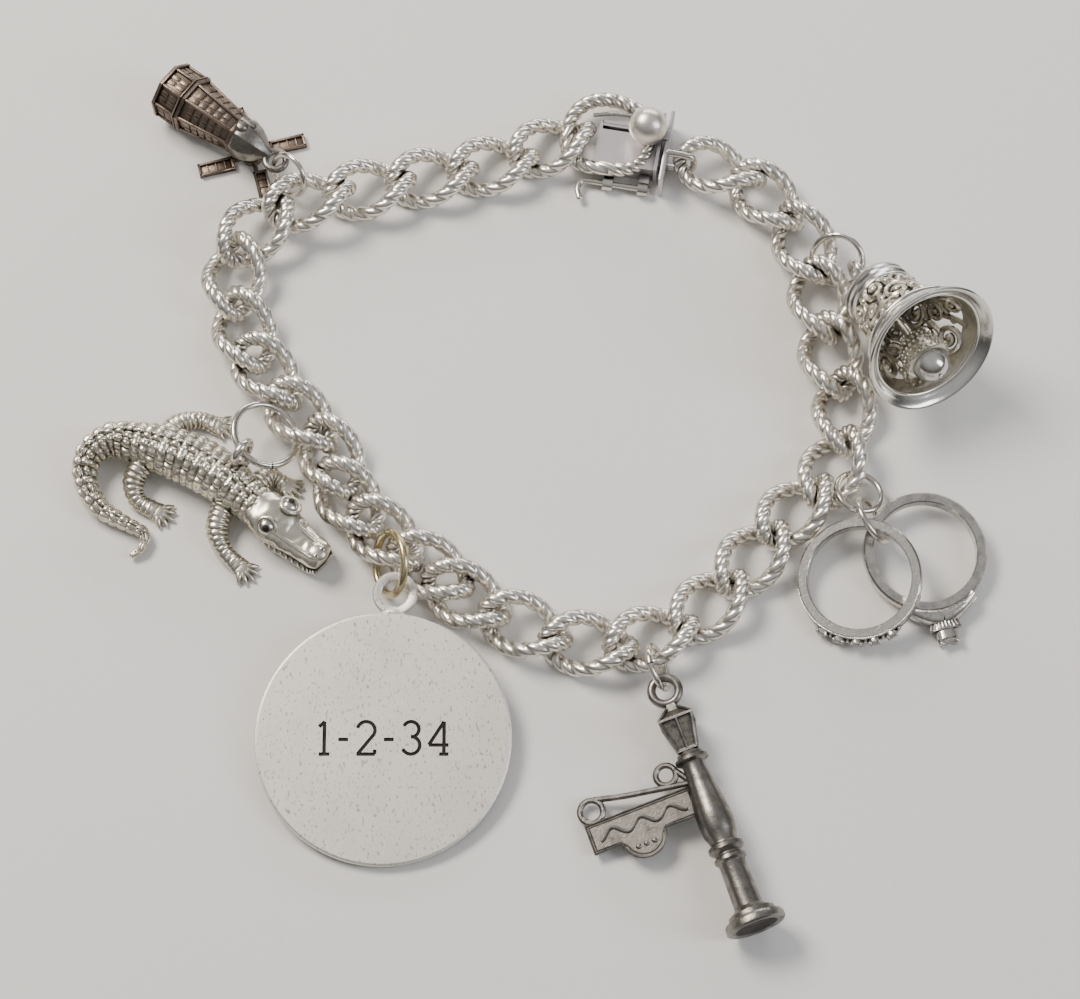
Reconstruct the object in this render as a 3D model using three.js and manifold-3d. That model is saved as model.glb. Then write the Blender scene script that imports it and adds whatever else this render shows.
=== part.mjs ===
// Charm bracelet: curb links of twisted wire, a box clasp with a safety catch, and six charms on jump rings.
// Millimetres, +Z up. The bracelet lies loose on the plane z = 0, with the clasp at the far side (+Y).
// The origin is the middle of the footprint, on that plane.

import * as THREE from 'three';
import { mergeVertices } from 'three/addons/utils/BufferGeometryUtils.js';
import Module from 'manifold-3d';

const wasm = await Module();
wasm.setup();

// ---------------------------------------------------------------- driving dimensions

const LINK = { halfLength: 4.2, halfWidth: 2.55, wire: 0.7, twist: 55, sides: 6, steps: 18 };

// One row for each link, from the clasp's end plate clockwise round to its bezel: the link's centre, and the
// turn about the vertical, roll about its own length and lift off the plane that it has where it is crowded.
const CHAIN = [
  { x: 18.3, y: 35.4, turn: 15, roll: -15 },
  { x: 23, y: 32.3, turn: -2 },
  { x: 26.5, y: 26.9, roll: 13, lift: 0.1 },
  { x: 27.9, y: 20.5, roll: -1, lift: 0.6 },
  { x: 28.8, y: 14.6, turn: 1 },
  { x: 29.9, y: 8.6 },
  { x: 28.5, y: 2.6, turn: 1, roll: 7 },
  { x: 24.7, y: -1.8, turn: -4, roll: 11 },
  { x: 20.4, y: -6.7 },
  { x: 16.1, y: -11.5, turn: 3 },
  { x: 10.6, y: -14.8, roll: 6 },
  { x: 4.6, y: -15.5 },
  { x: -1.5, y: -13.7 },
  { x: -7.1, y: -10.7, turn: 2, roll: -3 },
  { x: -10.6, y: -7.8, turn: 5, roll: -6 },
  { x: -15, y: -4.5, turn: -4, roll: 5, lift: 0.1 },
  { x: -18.6, y: -0.6, turn: 2 },
  { x: -20.4, y: 3.8, turn: -6 },
  { x: -23.4, y: 7.9, turn: 5, roll: 12 },
  { x: -26.9, y: 12.6, turn: 6, roll: 14 },
  { x: -29.4, y: 17.3, turn: -1, lift: 0.2 },
  { x: -30.6, y: 23.2, turn: 3, lift: 0.5 },
  { x: -28.6, y: 28.2, turn: -4, roll: 10, lift: 0.9 },
  { x: -23.3, y: 31.5, turn: -6, roll: -7, lift: 1 },
  { x: -17.3, y: 33.2, roll: 2, lift: 0.4 },
  { x: -11, y: 34.7, lift: 0.1 },
  { x: -4.8, y: 36.1, turn: -3 },
  { x: 1.2, y: 38.4, turn: 4, roll: -7 },
];

// Jump rings: the wire's centre-line radius and half thickness, the ring's centre, the heading of the
// diameter that stays level (turn), and how far the ring is tipped up about that diameter (tip).
const JUMP_RINGS = [
  { name: 'jump_ring_windmill', radius: 2.1, wire: 0.35, x: -25.4, y: 34.15, z: 3.15, turn: -47, tip: 64 },
  { name: 'jump_ring_alligator', radius: 3.2, wire: 0.4, x: -26.73, y: 5.4, z: 3.41, turn: 97, tip: 26 },
  { name: 'jump_ring_disc', radius: 3.0, wire: 0.45, x: -14.34, y: -7.9, z: 3.2, turn: -78, tip: 62 },
  { name: 'jump_ring_lamp_post', radius: 2.1, wire: 0.35, x: 11.19, y: -18.09, z: 2.36, turn: -77, tip: 114 },
  { name: 'jump_ring_wedding_set', radius: 2.25, wire: 0.35, x: 31.01, y: 0.05, z: 1.78, turn: -40, tip: -19 },
  { name: 'ring_connector', radius: 2.4, wire: 0.35, x: 32.08, y: -3.17, z: 2.52, turn: -66, tip: 120 },
  { name: 'jump_ring_bell', radius: 2.6, wire: 0.35, x: 29.82, y: 24.91, z: 2.35, turn: 149, tip: 132 },
];
const RING = { sides: 6, steps: 16 };
const SMALL_LOOP_STEPS = 12;

const SILVER = { color: 0xd6d3cc, roughness: 0.32, metalness: 1.0 };
const TARNISHED = { color: 0x8d8170, roughness: 0.45, metalness: 1.0 };
const GILT = { color: 0xcdbd93, roughness: 0.3, metalness: 1.0 };
const STONE = { color: 0xe9ecf0, roughness: 0.05, metalness: 0.0 };

// ---------------------------------------------------------------- geometry helpers

const MERGE = 1e-4;
const CLEAR = 1; // how far a cutter runs past the face that it opens
const BORE_SIDES = 12;
const JOIN = 0.1; // how far one soldered shape runs into the next
const UP = new THREE.Vector3(0, 0, 1);
const radians = THREE.MathUtils.degToRad;

/** Six times the signed volume of an indexed geometry: positive when its faces point out. */
function signedVolume(geometry) {
  const p = geometry.attributes.position;
  const index = geometry.index;
  const [a, b, c] = [new THREE.Vector3(), new THREE.Vector3(), new THREE.Vector3()];
  let sum = 0;
  for (let i = 0; i < index.count; i += 3) {
    a.fromBufferAttribute(p, index.getX(i));
    b.fromBufferAttribute(p, index.getX(i + 1));
    c.fromBufferAttribute(p, index.getX(i + 2));
    sum += a.dot(b.cross(c));
  }
  return sum;
}

/** Merges a geometry's shared vertices, drops collapsed triangles and turns its faces outward. */
function closed(geometry) {
  for (const attribute of ['normal', 'uv']) geometry.deleteAttribute(attribute);
  const merged = mergeVertices(geometry, MERGE);
  const kept = [];
  for (let i = 0; i < merged.index.count; i += 3) {
    const [a, b, c] = [0, 1, 2].map((k) => merged.index.getX(i + k));
    if (a !== b && b !== c && c !== a) kept.push(a, b, c);
  }
  merged.setIndex(kept);
  if (signedVolume(merged) < 0) {
    for (let i = 0; i < kept.length; i += 3) [kept[i], kept[i + 1]] = [kept[i + 1], kept[i]];
    merged.setIndex(kept);
  }
  return merged;
}

function toManifold(geometry) {
  const solid = closed(geometry);
  const vertProperties = new Float32Array(solid.attributes.position.array);
  const triVerts = new Uint32Array(solid.index.array);
  return new wasm.Manifold(new wasm.Mesh({ numProp: 3, vertProperties, triVerts }));
}

function toGeometry(manifold) {
  const mesh = manifold.getMesh();
  const geometry = new THREE.BufferGeometry();
  geometry.setAttribute('position', new THREE.BufferAttribute(mesh.vertProperties, 3));
  geometry.setIndex(new THREE.BufferAttribute(mesh.triVerts, 1));
  return geometry;
}

/** Joins the geometries in `add` into one solid and cuts those in `cut` away. */
function carve(add, cut = []) {
  const joined = add.map(toManifold).reduce((whole, next) => whole.add(next));
  const result = cut.map(toManifold).reduce((whole, next) => whole.subtract(next), joined);
  return toGeometry(result);
}

function box(x0, x1, y0, y1, z0, z1) {
  const geometry = new THREE.BoxGeometry(x1 - x0, y1 - y0, z1 - z0);
  return geometry.translate((x0 + x1) / 2, (y0 + y1) / 2, (z0 + z1) / 2);
}

/** Turns a profile of [radius, height] pairs about +Z. */
function turned(profile, segments) {
  const points = profile.map(([radius, height]) => new THREE.Vector2(radius, height));
  return new THREE.LatheGeometry(points, segments).rotateX(Math.PI / 2);
}

/** A frustum about +X from x0 to x1, `sides` round, with a flat side up. */
function frustumX(x0, x1, r0, r1, sides) {
  const geometry = new THREE.CylinderGeometry(r0, r1, x1 - x0, sides).rotateY(Math.PI / sides);
  return geometry.rotateZ(Math.PI / 2).translate((x0 + x1) / 2, 0, 0);
}

function ball(radius, x, y, z, segments = 12) {
  return new THREE.SphereGeometry(radius, segments, segments / 2).rotateX(Math.PI / 2).translate(x, y, z);
}

/** A torus about +Z. */
function loop(radius, wire, steps = RING.steps) {
  return new THREE.TorusGeometry(radius, wire, RING.sides, steps);
}

/**
 * Sweeps an oval section along `points`. `size(i)` gives the section's half width and half height at point i,
 * and its height stands along `up`, as far as the path lets it. An open sweep is capped at both ends.
 */
function sweep(points, size, { sides = 6, isLoop = false, up = UP } = {}) {
  const n = points.length;
  const at = (i) => (isLoop ? points[(i + n) % n] : points[Math.min(Math.max(i, 0), n - 1)]);
  const positions = [];
  for (let i = 0; i < n; i++) {
    const along = at(i + 1).clone().sub(at(i - 1)).normalize();
    const across = new THREE.Vector3().crossVectors(up, along).normalize();
    const above = new THREE.Vector3().crossVectors(along, across);
    const [halfWidth, halfHeight] = size(i);
    for (let k = 0; k < sides; k++) {
      const angle = (2 * Math.PI * k) / sides;
      const p = points[i].clone().addScaledVector(across, halfWidth * Math.cos(angle));
      positions.push(...p.addScaledVector(above, halfHeight * Math.sin(angle)).toArray());
    }
  }
  const index = [];
  const quad = (a, b, c, d) => index.push(a, b, c, a, c, d);
  for (let i = 0; i < (isLoop ? n : n - 1); i++) {
    const j = (i + 1) % n;
    for (let k = 0; k < sides; k++) {
      const m = (k + 1) % sides;
      quad(i * sides + k, i * sides + m, j * sides + m, j * sides + k);
    }
  }
  if (!isLoop) {
    for (let k = 1; k < sides - 1; k++) {
      index.push(0, k + 1, k);
      index.push((n - 1) * sides, (n - 1) * sides + k, (n - 1) * sides + k + 1);
    }
  }
  const geometry = new THREE.BufferGeometry();
  geometry.setAttribute('position', new THREE.Float32BufferAttribute(positions, 3));
  geometry.setIndex(index);
  return geometry;
}

function vectors(rows) {
  return rows.map(([x, y, z]) => new THREE.Vector3(x, y, z));
}

/** A wire of even thickness through the given points. */
function wirePath(rows, wire, options = {}) {
  return sweep(vectors(rows), () => [wire, wire], options);
}

/** A closed flat plate between z0 and z1 from an outline, with round holes given as [x, y, radius]. */
function plate(shape, z0, z1, holes = [], curveSegments = 12) {
  for (const [x, y, radius] of holes) {
    shape.holes.push(new THREE.Path().absarc(x, y, radius, 0, 2 * Math.PI, true));
  }
  const options = { depth: z1 - z0, bevelEnabled: false, curveSegments };
  return new THREE.ExtrudeGeometry(shape, options).translate(0, 0, z0);
}

const bracelet = new THREE.Group();

function group(x, y, z, turn = 0, pitch = 0, roll = 0) {
  const holder = new THREE.Group();
  holder.position.set(x, y, z);
  holder.rotation.set(radians(roll), radians(pitch), radians(turn), 'ZYX');
  bracelet.add(holder);
  return holder;
}

function addPiece(parent, name, geometry, finish) {
  const piece = new THREE.Mesh(closed(geometry), new THREE.MeshStandardMaterial(finish));
  piece.name = name;
  parent.add(piece);
  return piece;
}

/** Sets a group down so that its lowest point is `lift` above the plane z = 0. */
function layDown(holder, lift = 0) {
  holder.updateMatrixWorld(true);
  holder.position.z += lift - new THREE.Box3().setFromObject(holder, true).min.z;
}

// ---------------------------------------------------------------- chain

/** The centre line of a curb link: an oval whose two ends are twisted opposite ways, so that links lie flat. */
function linkCentreLine() {
  const points = [];
  for (let i = 0; i < LINK.steps; i++) {
    const t = (2 * Math.PI * i) / LINK.steps;
    const twist = -radians(LINK.twist) * Math.cos(t);
    const y = LINK.halfWidth * Math.sin(t);
    points.push([LINK.halfLength * Math.cos(t), y * Math.cos(twist), y * Math.sin(twist)]);
  }
  return points;
}

/** The heading of link i in degrees: halfway between the directions to its two neighbours. */
function heading(i) {
  const steps = [];
  for (const [from, to] of [[i - 1, i], [i, i + 1]]) {
    if (!CHAIN[from] || !CHAIN[to]) continue;
    steps.push(new THREE.Vector2(CHAIN[to].x - CHAIN[from].x, CHAIN[to].y - CHAIN[from].y).normalize());
  }
  const sum = steps.reduce((whole, next) => whole.add(next), new THREE.Vector2());
  return THREE.MathUtils.radToDeg(sum.angle());
}

function addChain() {
  const centreLine = linkCentreLine();
  CHAIN.forEach(({ x, y, turn = 0, roll = 0, lift = 0 }, i) => {
    const holder = group(x, y, 0, heading(i) + turn, 0, roll);
    const wire = wirePath(centreLine, LINK.wire, { sides: LINK.sides, isLoop: true });
    addPiece(holder, `link_${String(i + 1).padStart(2, '0')}`, wire, SILVER);
    layDown(holder, lift);
  });
}

function addJumpRings() {
  for (const { name, radius, wire, x, y, z, turn, tip } of JUMP_RINGS) {
    const finish = name === 'jump_ring_disc' ? GILT : SILVER;
    addPiece(group(x, y, z, turn, 0, tip), name, loop(radius, wire), finish);
  }
}

// ---------------------------------------------------------------- clasp

const CLASP = { x: 7.1, y: 39.5, turn: -10 };
const BEZEL = { sides: 6, halfLength: 4.25, halfWidth: 3.95, wire: 0.65, z: 1.9, twist: 0.8, steps: 24, squareness: 0.7 };
const CLASP_BOX = { x0: -1.1, x1: 5.3, y0: -3.6, y1: 1.5, z0: 0, z1: 2.4, wall: 0.4, frontWall: 0.7 };
const END_WALL = { x0: 5.1, x1: 5.5, y0: -3.8, y1: 2.9, z0: 0.3, z1: 2.9 };
const TONGUE = { x0: -0.4, y0: -2.5, y1: 0.7, z0: 1.1, z1: 1.6 };
const END_PLATE = { x0: 5.85, x1: 6.35, y0: -5.2, y1: 2.9, z0: 0.1, z1: 3.7 };
const THUMB_BALL = { radius: 1.8, x: 3.9, y: 0, z: 4.9 };
const STRAP = { halfWidth: 0.6, below: 0.4, above: 0.3, underBall: 1 };
const STAPLE = { reach: 2.6, straight: 1.56, rise: 1.5, root: 0.3, wire: 0.35, y: -1.9, z: 1.95 };
const CATCH = { y: -5.1, z: 0.85, wire: 0.3, hole: 0.42, x0: -2.0, x1: 5.0, arm: 2.1, bend: 0.3 };
const KNUCKLE_STALK = { back: 0.5, down: 0.25, up: 0.5, into: 0.6 };
const KNUCKLE = { starts: [0.2, 3.8], length: 1, radius: 0.8, sides: 10 };

/** The bezel's outline: round at the back (+Y), squarer at the front, and twisted like a link's end at its left. */
function bezelCentreLine() {
  const points = [];
  for (let i = 0; i < BEZEL.steps; i++) {
    const t = (2 * Math.PI * i) / BEZEL.steps;
    const power = Math.sin(t) < 0 ? BEZEL.squareness : 1;
    const bulge = (v) => Math.sign(v) * Math.abs(v) ** power;
    const [across, back] = [bulge(Math.cos(t)), bulge(Math.sin(t))];
    const z = BEZEL.z + BEZEL.twist * back * Math.max(-across, 0);
    points.push([BEZEL.halfLength * across, BEZEL.halfWidth * back, z]);
  }
  return points;
}

function claspBoxGeometry() {
  const { x0, x1, y0, y1, z0, z1, wall, frontWall } = CLASP_BOX;
  const { length, radius } = KNUCKLE;
  const stalk = KNUCKLE_STALK;
  const knuckle = (x) => {
    const tube = frustumX(x, x + length, radius, radius, KNUCKLE.sides).translate(0, CATCH.y, CATCH.z);
    const [low, high] = [CATCH.z - stalk.down, CATCH.z + stalk.up];
    return [tube, box(x, x + length, CATCH.y + stalk.back, y0 + stalk.into, low, high)];
  };
  const pin = frustumX(CATCH.x0 - CLEAR, CATCH.x1 + CLEAR, CATCH.hole, CATCH.hole, BORE_SIDES)
    .translate(0, CATCH.y, CATCH.z);
  const cavity = box(x0 + wall, x1 + CLEAR, y0 + frontWall, y1 - wall, z0 + wall, z1 - wall);
  return carve(
    [
      wirePath(bezelCentreLine(), BEZEL.wire, { sides: BEZEL.sides, isLoop: true }),
      box(x0, x1, y0, y1, z0, z1),
      box(END_WALL.x0, END_WALL.x1, END_WALL.y0, END_WALL.y1, END_WALL.z0, END_WALL.z1),
      ...KNUCKLE.starts.flatMap(knuckle),
    ],
    [cavity, pin],
  );
}

function claspTongueGeometry() {
  const { x0, x1, y0, y1, z0, z1 } = END_PLATE;
  const { radius, x, y, z } = THUMB_BALL;
  const { reach, straight, rise, root } = STAPLE;
  const halfStaple = [[x1 - root, rise], [x1 + straight, rise], [x1 + reach, rise / 2]];
  const staple = [
    ...halfStaple.map(([along, height]) => [along, STAPLE.y, STAPLE.z - height]),
    ...halfStaple.reverse().map(([along, height]) => [along, STAPLE.y, STAPLE.z + height]),
  ];
  return carve([
    box(x0, x1, y0, y1, z0, z1),
    box(TONGUE.x0, x0 + JOIN, TONGUE.y0, TONGUE.y1, TONGUE.z0, TONGUE.z1),
    box(x + STRAP.underBall, x1, y - STRAP.halfWidth, y + STRAP.halfWidth, z1 - STRAP.below, z1 + STRAP.above),
    ball(radius, x, y, z),
    wirePath(staple, STAPLE.wire, { up: new THREE.Vector3(0, 1, 0) }),
  ]);
}

/** The safety catch: a wire that turns in the box's two knuckles, with an arm bent out at its free end. */
function catchGeometry() {
  const { x0, x1, y, z, arm, bend, wire } = CATCH;
  const straight = [[x1, y, z], [(x0 + x1) / 2, y, z], [x0 + bend, y, z]];
  const bentOut = [[x0 - 0.7 * bend, y - bend, z], [x0 - 1.2 * bend, y - arm, z]];
  return wirePath([...straight, ...bentOut], wire, { sides: 8 });
}

function addClasp() {
  const holder = group(CLASP.x, CLASP.y, 0, CLASP.turn);
  addPiece(holder, 'clasp_box', claspBoxGeometry(), SILVER);
  addPiece(holder, 'clasp_tongue', claspTongueGeometry(), SILVER);
  addPiece(holder, 'safety_catch', catchGeometry(), SILVER);
}

// ---------------------------------------------------------------- windmill charm

const MILL = { x: -37.9, y: 44.2, turn: -37, axisHeight: 3.1, sides: 8 };
// Frusta down the mill's axis, from its foot: start, end, and the radius at each.
const MILL_TOWER = [
  [0, 0.4, 3.1, 3.15],
  [0.3, 2.7, 2.95, 2.95],
  [2.6, 3.3, 3.2, 3.1],
  [3.2, 8.9, 2.8, 1.85],
  [12.0, 13.1, 0.9, 0.6],
];
const MILL_CAP = { x: 10.4, length: 2.0, width: 2.1, height: 1.75 };
const MILL_EYE = { x: 13.9, radius: 1.05, wire: 0.35 };
const MILL_SAILS = { x: 10.5, z0: 0.1, z1: 0.6, turn: 52, hub: 1.1, bore: 0.6, pin: 0.42, pinLength: 1.8 };
const MILL_SAIL = { near: 2.0, far: 5.7, width: 1.4, lead: 0.35, spar: 0.3 };

function millBodyGeometry() {
  const cap = new THREE.SphereGeometry(1, 10, 8).scale(MILL_CAP.length, MILL_CAP.width, MILL_CAP.height);
  const { pin, pinLength, x, z0 } = MILL_SAILS;
  return carve([
    ...MILL_TOWER.map(([x0, x1, r0, r1]) => frustumX(x0, x1, r0, r1, MILL.sides)),
    cap.translate(MILL_CAP.x, 0, 0),
    loop(MILL_EYE.radius, MILL_EYE.wire, SMALL_LOOP_STEPS).translate(MILL_EYE.x, 0, 0),
    new THREE.CylinderGeometry(pin, pin, pinLength, 10)
      .rotateX(Math.PI / 2)
      .translate(x, 0, z0 + pinLength / 2 - MILL.axisHeight),
  ]);
}

function sailOutline() {
  const { near, far, width, lead, spar } = MILL_SAIL;
  const corners = [[0, -spar], [near, -spar], [near, -lead], [far, -lead], [far, width - lead]];
  corners.push([near, width - lead], [near, spar], [0, spar]);
  return new THREE.Shape(corners.map(([x, y]) => new THREE.Vector2(x, y)));
}

function millSailsGeometry() {
  const { z0, z1, hub, bore } = MILL_SAILS;
  const arms = [0, 1, 2, 3].map((k) => plate(sailOutline(), z0, z1).rotateZ((k * Math.PI) / 2));
  const disc = plate(new THREE.Shape().absarc(0, 0, hub, 0, 2 * Math.PI), z0, z1);
  const hole = plate(new THREE.Shape().absarc(0, 0, bore, 0, 2 * Math.PI), z0 - CLEAR, z1 + CLEAR);
  return carve([...arms, disc], [hole]);
}

function addWindmill() {
  const holder = group(MILL.x, MILL.y, MILL.axisHeight, MILL.turn);
  addPiece(holder, 'windmill_body', millBodyGeometry(), TARNISHED);
  const hub = new THREE.Vector3(MILL_SAILS.x, 0, 0).applyEuler(holder.rotation).add(holder.position);
  addPiece(group(hub.x, hub.y, 0, MILL.turn + MILL_SAILS.turn), 'windmill_sails', millSailsGeometry(), TARNISHED);
}

// ---------------------------------------------------------------- alligator charm

// Sections down the spine, tail tip first: centre, half width and half height.
const ALLIGATOR_SPINE = [
  { x: -39.6, y: -6.2, z: 0.6, width: 0.3, height: 0.4 },
  { x: -38.5, y: -5.4, z: 0.7, width: 0.45, height: 0.5 },
  { x: -38.4, y: -3.9, z: 0.8, width: 0.55, height: 0.65 },
  { x: -40.4, y: -2.8, z: 1.0, width: 0.75, height: 0.85 },
  { x: -42.9, y: -1.2, z: 1.2, width: 1.0, height: 1.1 },
  { x: -44.4, y: 1.4, z: 1.5, width: 1.2, height: 1.35 },
  { x: -44.1, y: 3.9, z: 1.8, width: 1.35, height: 1.6 },
  { x: -42.0, y: 5.4, z: 2.1, width: 1.6, height: 1.8 },
  { x: -39.2, y: 5.0, z: 2.3, width: 2.0, height: 2.0 },
  { x: -36.4, y: 4.1, z: 2.5, width: 2.4, height: 2.1 },
  { x: -33.4, y: 2.9, z: 2.5, width: 2.6, height: 2.15 },
  { x: -30.6, y: 1.1, z: 2.5, width: 2.5, height: 2.1 },
  { x: -28.3, y: -0.8, z: 2.5, width: 2.2, height: 1.9 },
  { x: -26.4, y: -2.4, z: 2.4, width: 2.2, height: 1.8 },
  { x: -24.4, y: -4.1, z: 2.3, width: 1.9, height: 1.5 },
  { x: -22.2, y: -5.8, z: 2.1, width: 1.5, height: 1.2 },
  { x: -20.6, y: -7.0, z: 2.0, width: 1.2, height: 1.1 },
];
const ALLIGATOR_LEGS = [
  [[-38.6, 3.4, 1.9], [-39.6, 1.4, 1.4], [-39.2, -0.4, 0.8], [-36.8, -1.6, 0.45]],
  [[-36.9, 5.4, 1.9], [-35.6, 7.4, 1.3], [-33.6, 8.2, 0.8], [-31.4, 7.6, 0.45]],
  [[-30.6, -1.2, 1.9], [-31.3, -3.6, 1.4], [-30.6, -5.6, 0.8], [-28.2, -8.0, 0.45]],
  [[-27.8, 0.4, 1.8], [-26.6, 1.9, 1.3], [-25.6, 1.8, 0.8], [-24.6, 1.0, 0.45]],
];
const LEG_SIZES = [[0.9, 0.9], [0.8, 0.8], [0.6, 0.6], [0.75, 0.4]];
const ALLIGATOR_EYES = [[-26.6, -3.7, 3.7], [-24.9, -1.9, 3.7]];
const EYE_RADIUS = 0.85;
const BACK_LOOP = { x: -28.8, y: 3.0, z: 4.7, radius: 1.2, wire: 0.4, turn: 55 };

function alligatorGeometry() {
  const spine = ALLIGATOR_SPINE.map(({ x, y, z }) => new THREE.Vector3(x, y, z));
  const body = sweep(spine, (i) => [ALLIGATOR_SPINE[i].width, ALLIGATOR_SPINE[i].height], { sides: 8 });
  const legs = ALLIGATOR_LEGS.map((rows) => sweep(vectors(rows), (i) => LEG_SIZES[i]));
  const eyes = ALLIGATOR_EYES.map(([x, y, z]) => ball(EYE_RADIUS, x, y, z, 8));
  const { x, y, z, radius, wire, turn } = BACK_LOOP;
  const backLoop = loop(radius, wire, SMALL_LOOP_STEPS).rotateX(Math.PI / 2).rotateZ(radians(turn));
  return carve([body, ...legs, ...eyes, backLoop.translate(x, y, z)]);
}

// ---------------------------------------------------------------- engraved disc charm

const DISC = { x: -14.7, y: -24.9, tip: 6, radius: 12.1, thickness: 1.0, segments: 48 };
const DISC_LOOP = { x: 0.9, y: 14.0, z0: 0.1, z1: 0.9, outer: 2.15, hole: 1.3 };

function discGeometry() {
  const { radius, thickness, segments } = DISC;
  const face = new THREE.CylinderGeometry(radius, radius, thickness, segments).rotateX(Math.PI / 2);
  const ring = new THREE.Shape().absarc(0, 0, DISC_LOOP.outer, 0, 2 * Math.PI);
  const washer = plate(ring, DISC_LOOP.z0, DISC_LOOP.z1, [[0, 0, DISC_LOOP.hole]], 8)
    .translate(DISC_LOOP.x, DISC_LOOP.y, 0);
  return carve([face.translate(0, 0, thickness / 2), washer]);
}

// ---------------------------------------------------------------- lamp post charm

const LAMP = { x: 11.8, y: -20.4, turn: -70.7, pitch: -1.2, roll: 9 };
const LAMP_PROFILE = [
  [0, 6.9], [1.55, 6.9], [1.55, 7.5], [1.15, 7.9], [1.25, 9.0], [1.7, 13.6], [1.35, 15.7], [1.65, 16.1],
  [1.65, 16.7], [1.3, 16.9], [1.5, 17.2], [1.5, 17.7], [1.25, 17.9], [1.3, 22.2], [2.3, 22.7], [2.8, 23.2],
  [2.8, 24.2], [2.3, 24.2], [2.1, 23.6], [0, 23.6],
];
// The lantern's frusta from the loop down: start, end, the radius at each, and the number of sides.
const LANTERN = [
  [1.4, 2.3, 0.5, 0.9, 4],
  [2.2, 3.2, 0.9, 2.35, 4],
  [3.1, 6.3, 2.35, 1.3, 4],
  [6.2, 7.1, 1.2, 1.2, 8],
];
const LAMP_LOOP = { radius: 1.3, wire: 0.4 };
const BRACKET_WIRE = 0.3;
const ROD = [[7.4, -9.8, 0], [8.4, -6.0, 0], [9.2, -1.0, 0]];
const STAY = [[7.7, -1.7, 0], [8.6, -1.2, 0], [9.4, -0.6, 0]];
const SIGN = { x0: 9.6, x1: 12.4, y0: -11.5, thickness: 0.55, lobeY: -6.7, lobe: 2.1, lobeX: 12.3 };
const SCROLLS = [{ x: 8.4, y: -10.5, radius: 1.1 }, { x: 7.7, y: -2.8, radius: 1.15 }];

function lampPostGeometry() {
  const flat = SIGN.thickness / 2;
  const post = turned(LAMP_PROFILE, 12).rotateY(Math.PI / 2);
  const lobe = plate(new THREE.Shape().absarc(SIGN.lobeX, SIGN.lobeY, SIGN.lobe, 0, 2 * Math.PI), -flat, flat, [], 6);
  return carve([
    loop(LAMP_LOOP.radius, LAMP_LOOP.wire, SMALL_LOOP_STEPS),
    ...LANTERN.map((frustum) => frustumX(...frustum)),
    post,
    box(SIGN.x0, SIGN.x1, SIGN.y0, 0, -flat, flat),
    lobe,
    ...SCROLLS.map(({ x, y, radius }) => loop(radius, BRACKET_WIRE, SMALL_LOOP_STEPS).translate(x, y, 0)),
    wirePath(ROD, BRACKET_WIRE),
    wirePath(STAY, BRACKET_WIRE),
  ]);
}

// ---------------------------------------------------------------- wedding set charm

const BAND = { inner: 5.1, outer: 5.95, width: 1.4, segments: 28 };
const WEDDING = { x: 30.8, y: -9.0, pitch: -12, roll: 8 };
const ENGAGEMENT = { x: 37.1, y: -6.1, roll: 5, head: -77 };
const BAND_STONES = { degrees: [-128, -112, -96, -80, -64], radius: 0.55, sunk: 0.05 };
const SHOULDERS = { degrees: [28, 16, 0], proud: 0.1, width: 0.35, edge: 0.05 };
// Cones on the engagement ring's head: distance of the middle outside the band, radii, length and flattening.
const GALLERY = { out: 0.9, near: 0.75, far: 1.7, length: 1.5, flat: 0.42 };
const HEAD = { out: 2.2, near: 0.95, far: 1.25, length: 1.3, flat: 0.55 };
const SEAT = { from: 2.35, to: 3.55, halfWidth: 0.95, halfHeight: 0.5 };
const SOLITAIRE = { out: 2.98, near: 0.35, far: 0.8, length: 0.9, flat: 0.42, narrow: 0.9 };

/** A flat-sided finger ring about +Z, resting on z = 0. */
function bandGeometry() {
  const { inner, outer, width, segments } = BAND;
  return turned([[inner, 0], [outer, 0], [outer, width], [inner, width], [inner, 0]], segments);
}

function weddingRingGeometry() {
  const stones = BAND_STONES.degrees.map((degrees) => {
    const place = new THREE.Vector2(BAND.outer - BAND_STONES.sunk, 0);
    place.rotateAround(new THREE.Vector2(), radians(degrees));
    return ball(BAND_STONES.radius, place.x, place.y, BAND.width / 2, 8);
  });
  return carve([bandGeometry(), ...stones]);
}

/** A flattened eight-sided cone that points out from the band along +X, its middle `out` from the band. */
function headCone({ out, near, far, length, flat, narrow = 1 }) {
  const cone = new THREE.CylinderGeometry(far, near, length, 8).rotateZ(-Math.PI / 2).scale(1, narrow, flat);
  return cone.translate(BAND.outer + out, 0, BAND.width / 2);
}

function engagementRingGeometry() {
  const half = BAND.width / 2;
  const shoulders = [-1, 1].map((side) => {
    const arc = SHOULDERS.degrees.map((degrees) => {
      const place = new THREE.Vector2(BAND.outer + SHOULDERS.proud, 0);
      place.rotateAround(new THREE.Vector2(), radians(side * degrees));
      return [place.x, place.y, half];
    });
    return sweep(vectors(arc), (i) => [SHOULDERS.width * (1 + i), half - SHOULDERS.edge]);
  });
  const { from, to, halfWidth, halfHeight } = SEAT;
  const seat = box(BAND.outer + from, BAND.outer + to, -halfWidth, halfWidth, half - halfHeight, half + halfHeight);
  return carve([bandGeometry(), ...shoulders, headCone(GALLERY), headCone(HEAD)], [seat]);
}

function addWeddingSet() {
  const wedding = group(WEDDING.x, WEDDING.y, 0, 0, WEDDING.pitch, WEDDING.roll);
  addPiece(wedding, 'wedding_ring', weddingRingGeometry(), SILVER);
  layDown(wedding);
  const engagement = group(ENGAGEMENT.x, ENGAGEMENT.y, 0, 0, 0, ENGAGEMENT.roll);
  const turn = radians(ENGAGEMENT.head);
  addPiece(engagement, 'engagement_ring', engagementRingGeometry().rotateZ(turn), SILVER);
  addPiece(engagement, 'solitaire_stone', headCone(SOLITAIRE).rotateZ(turn), STONE);
  layDown(engagement);
}

// ---------------------------------------------------------------- bell charm

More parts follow.
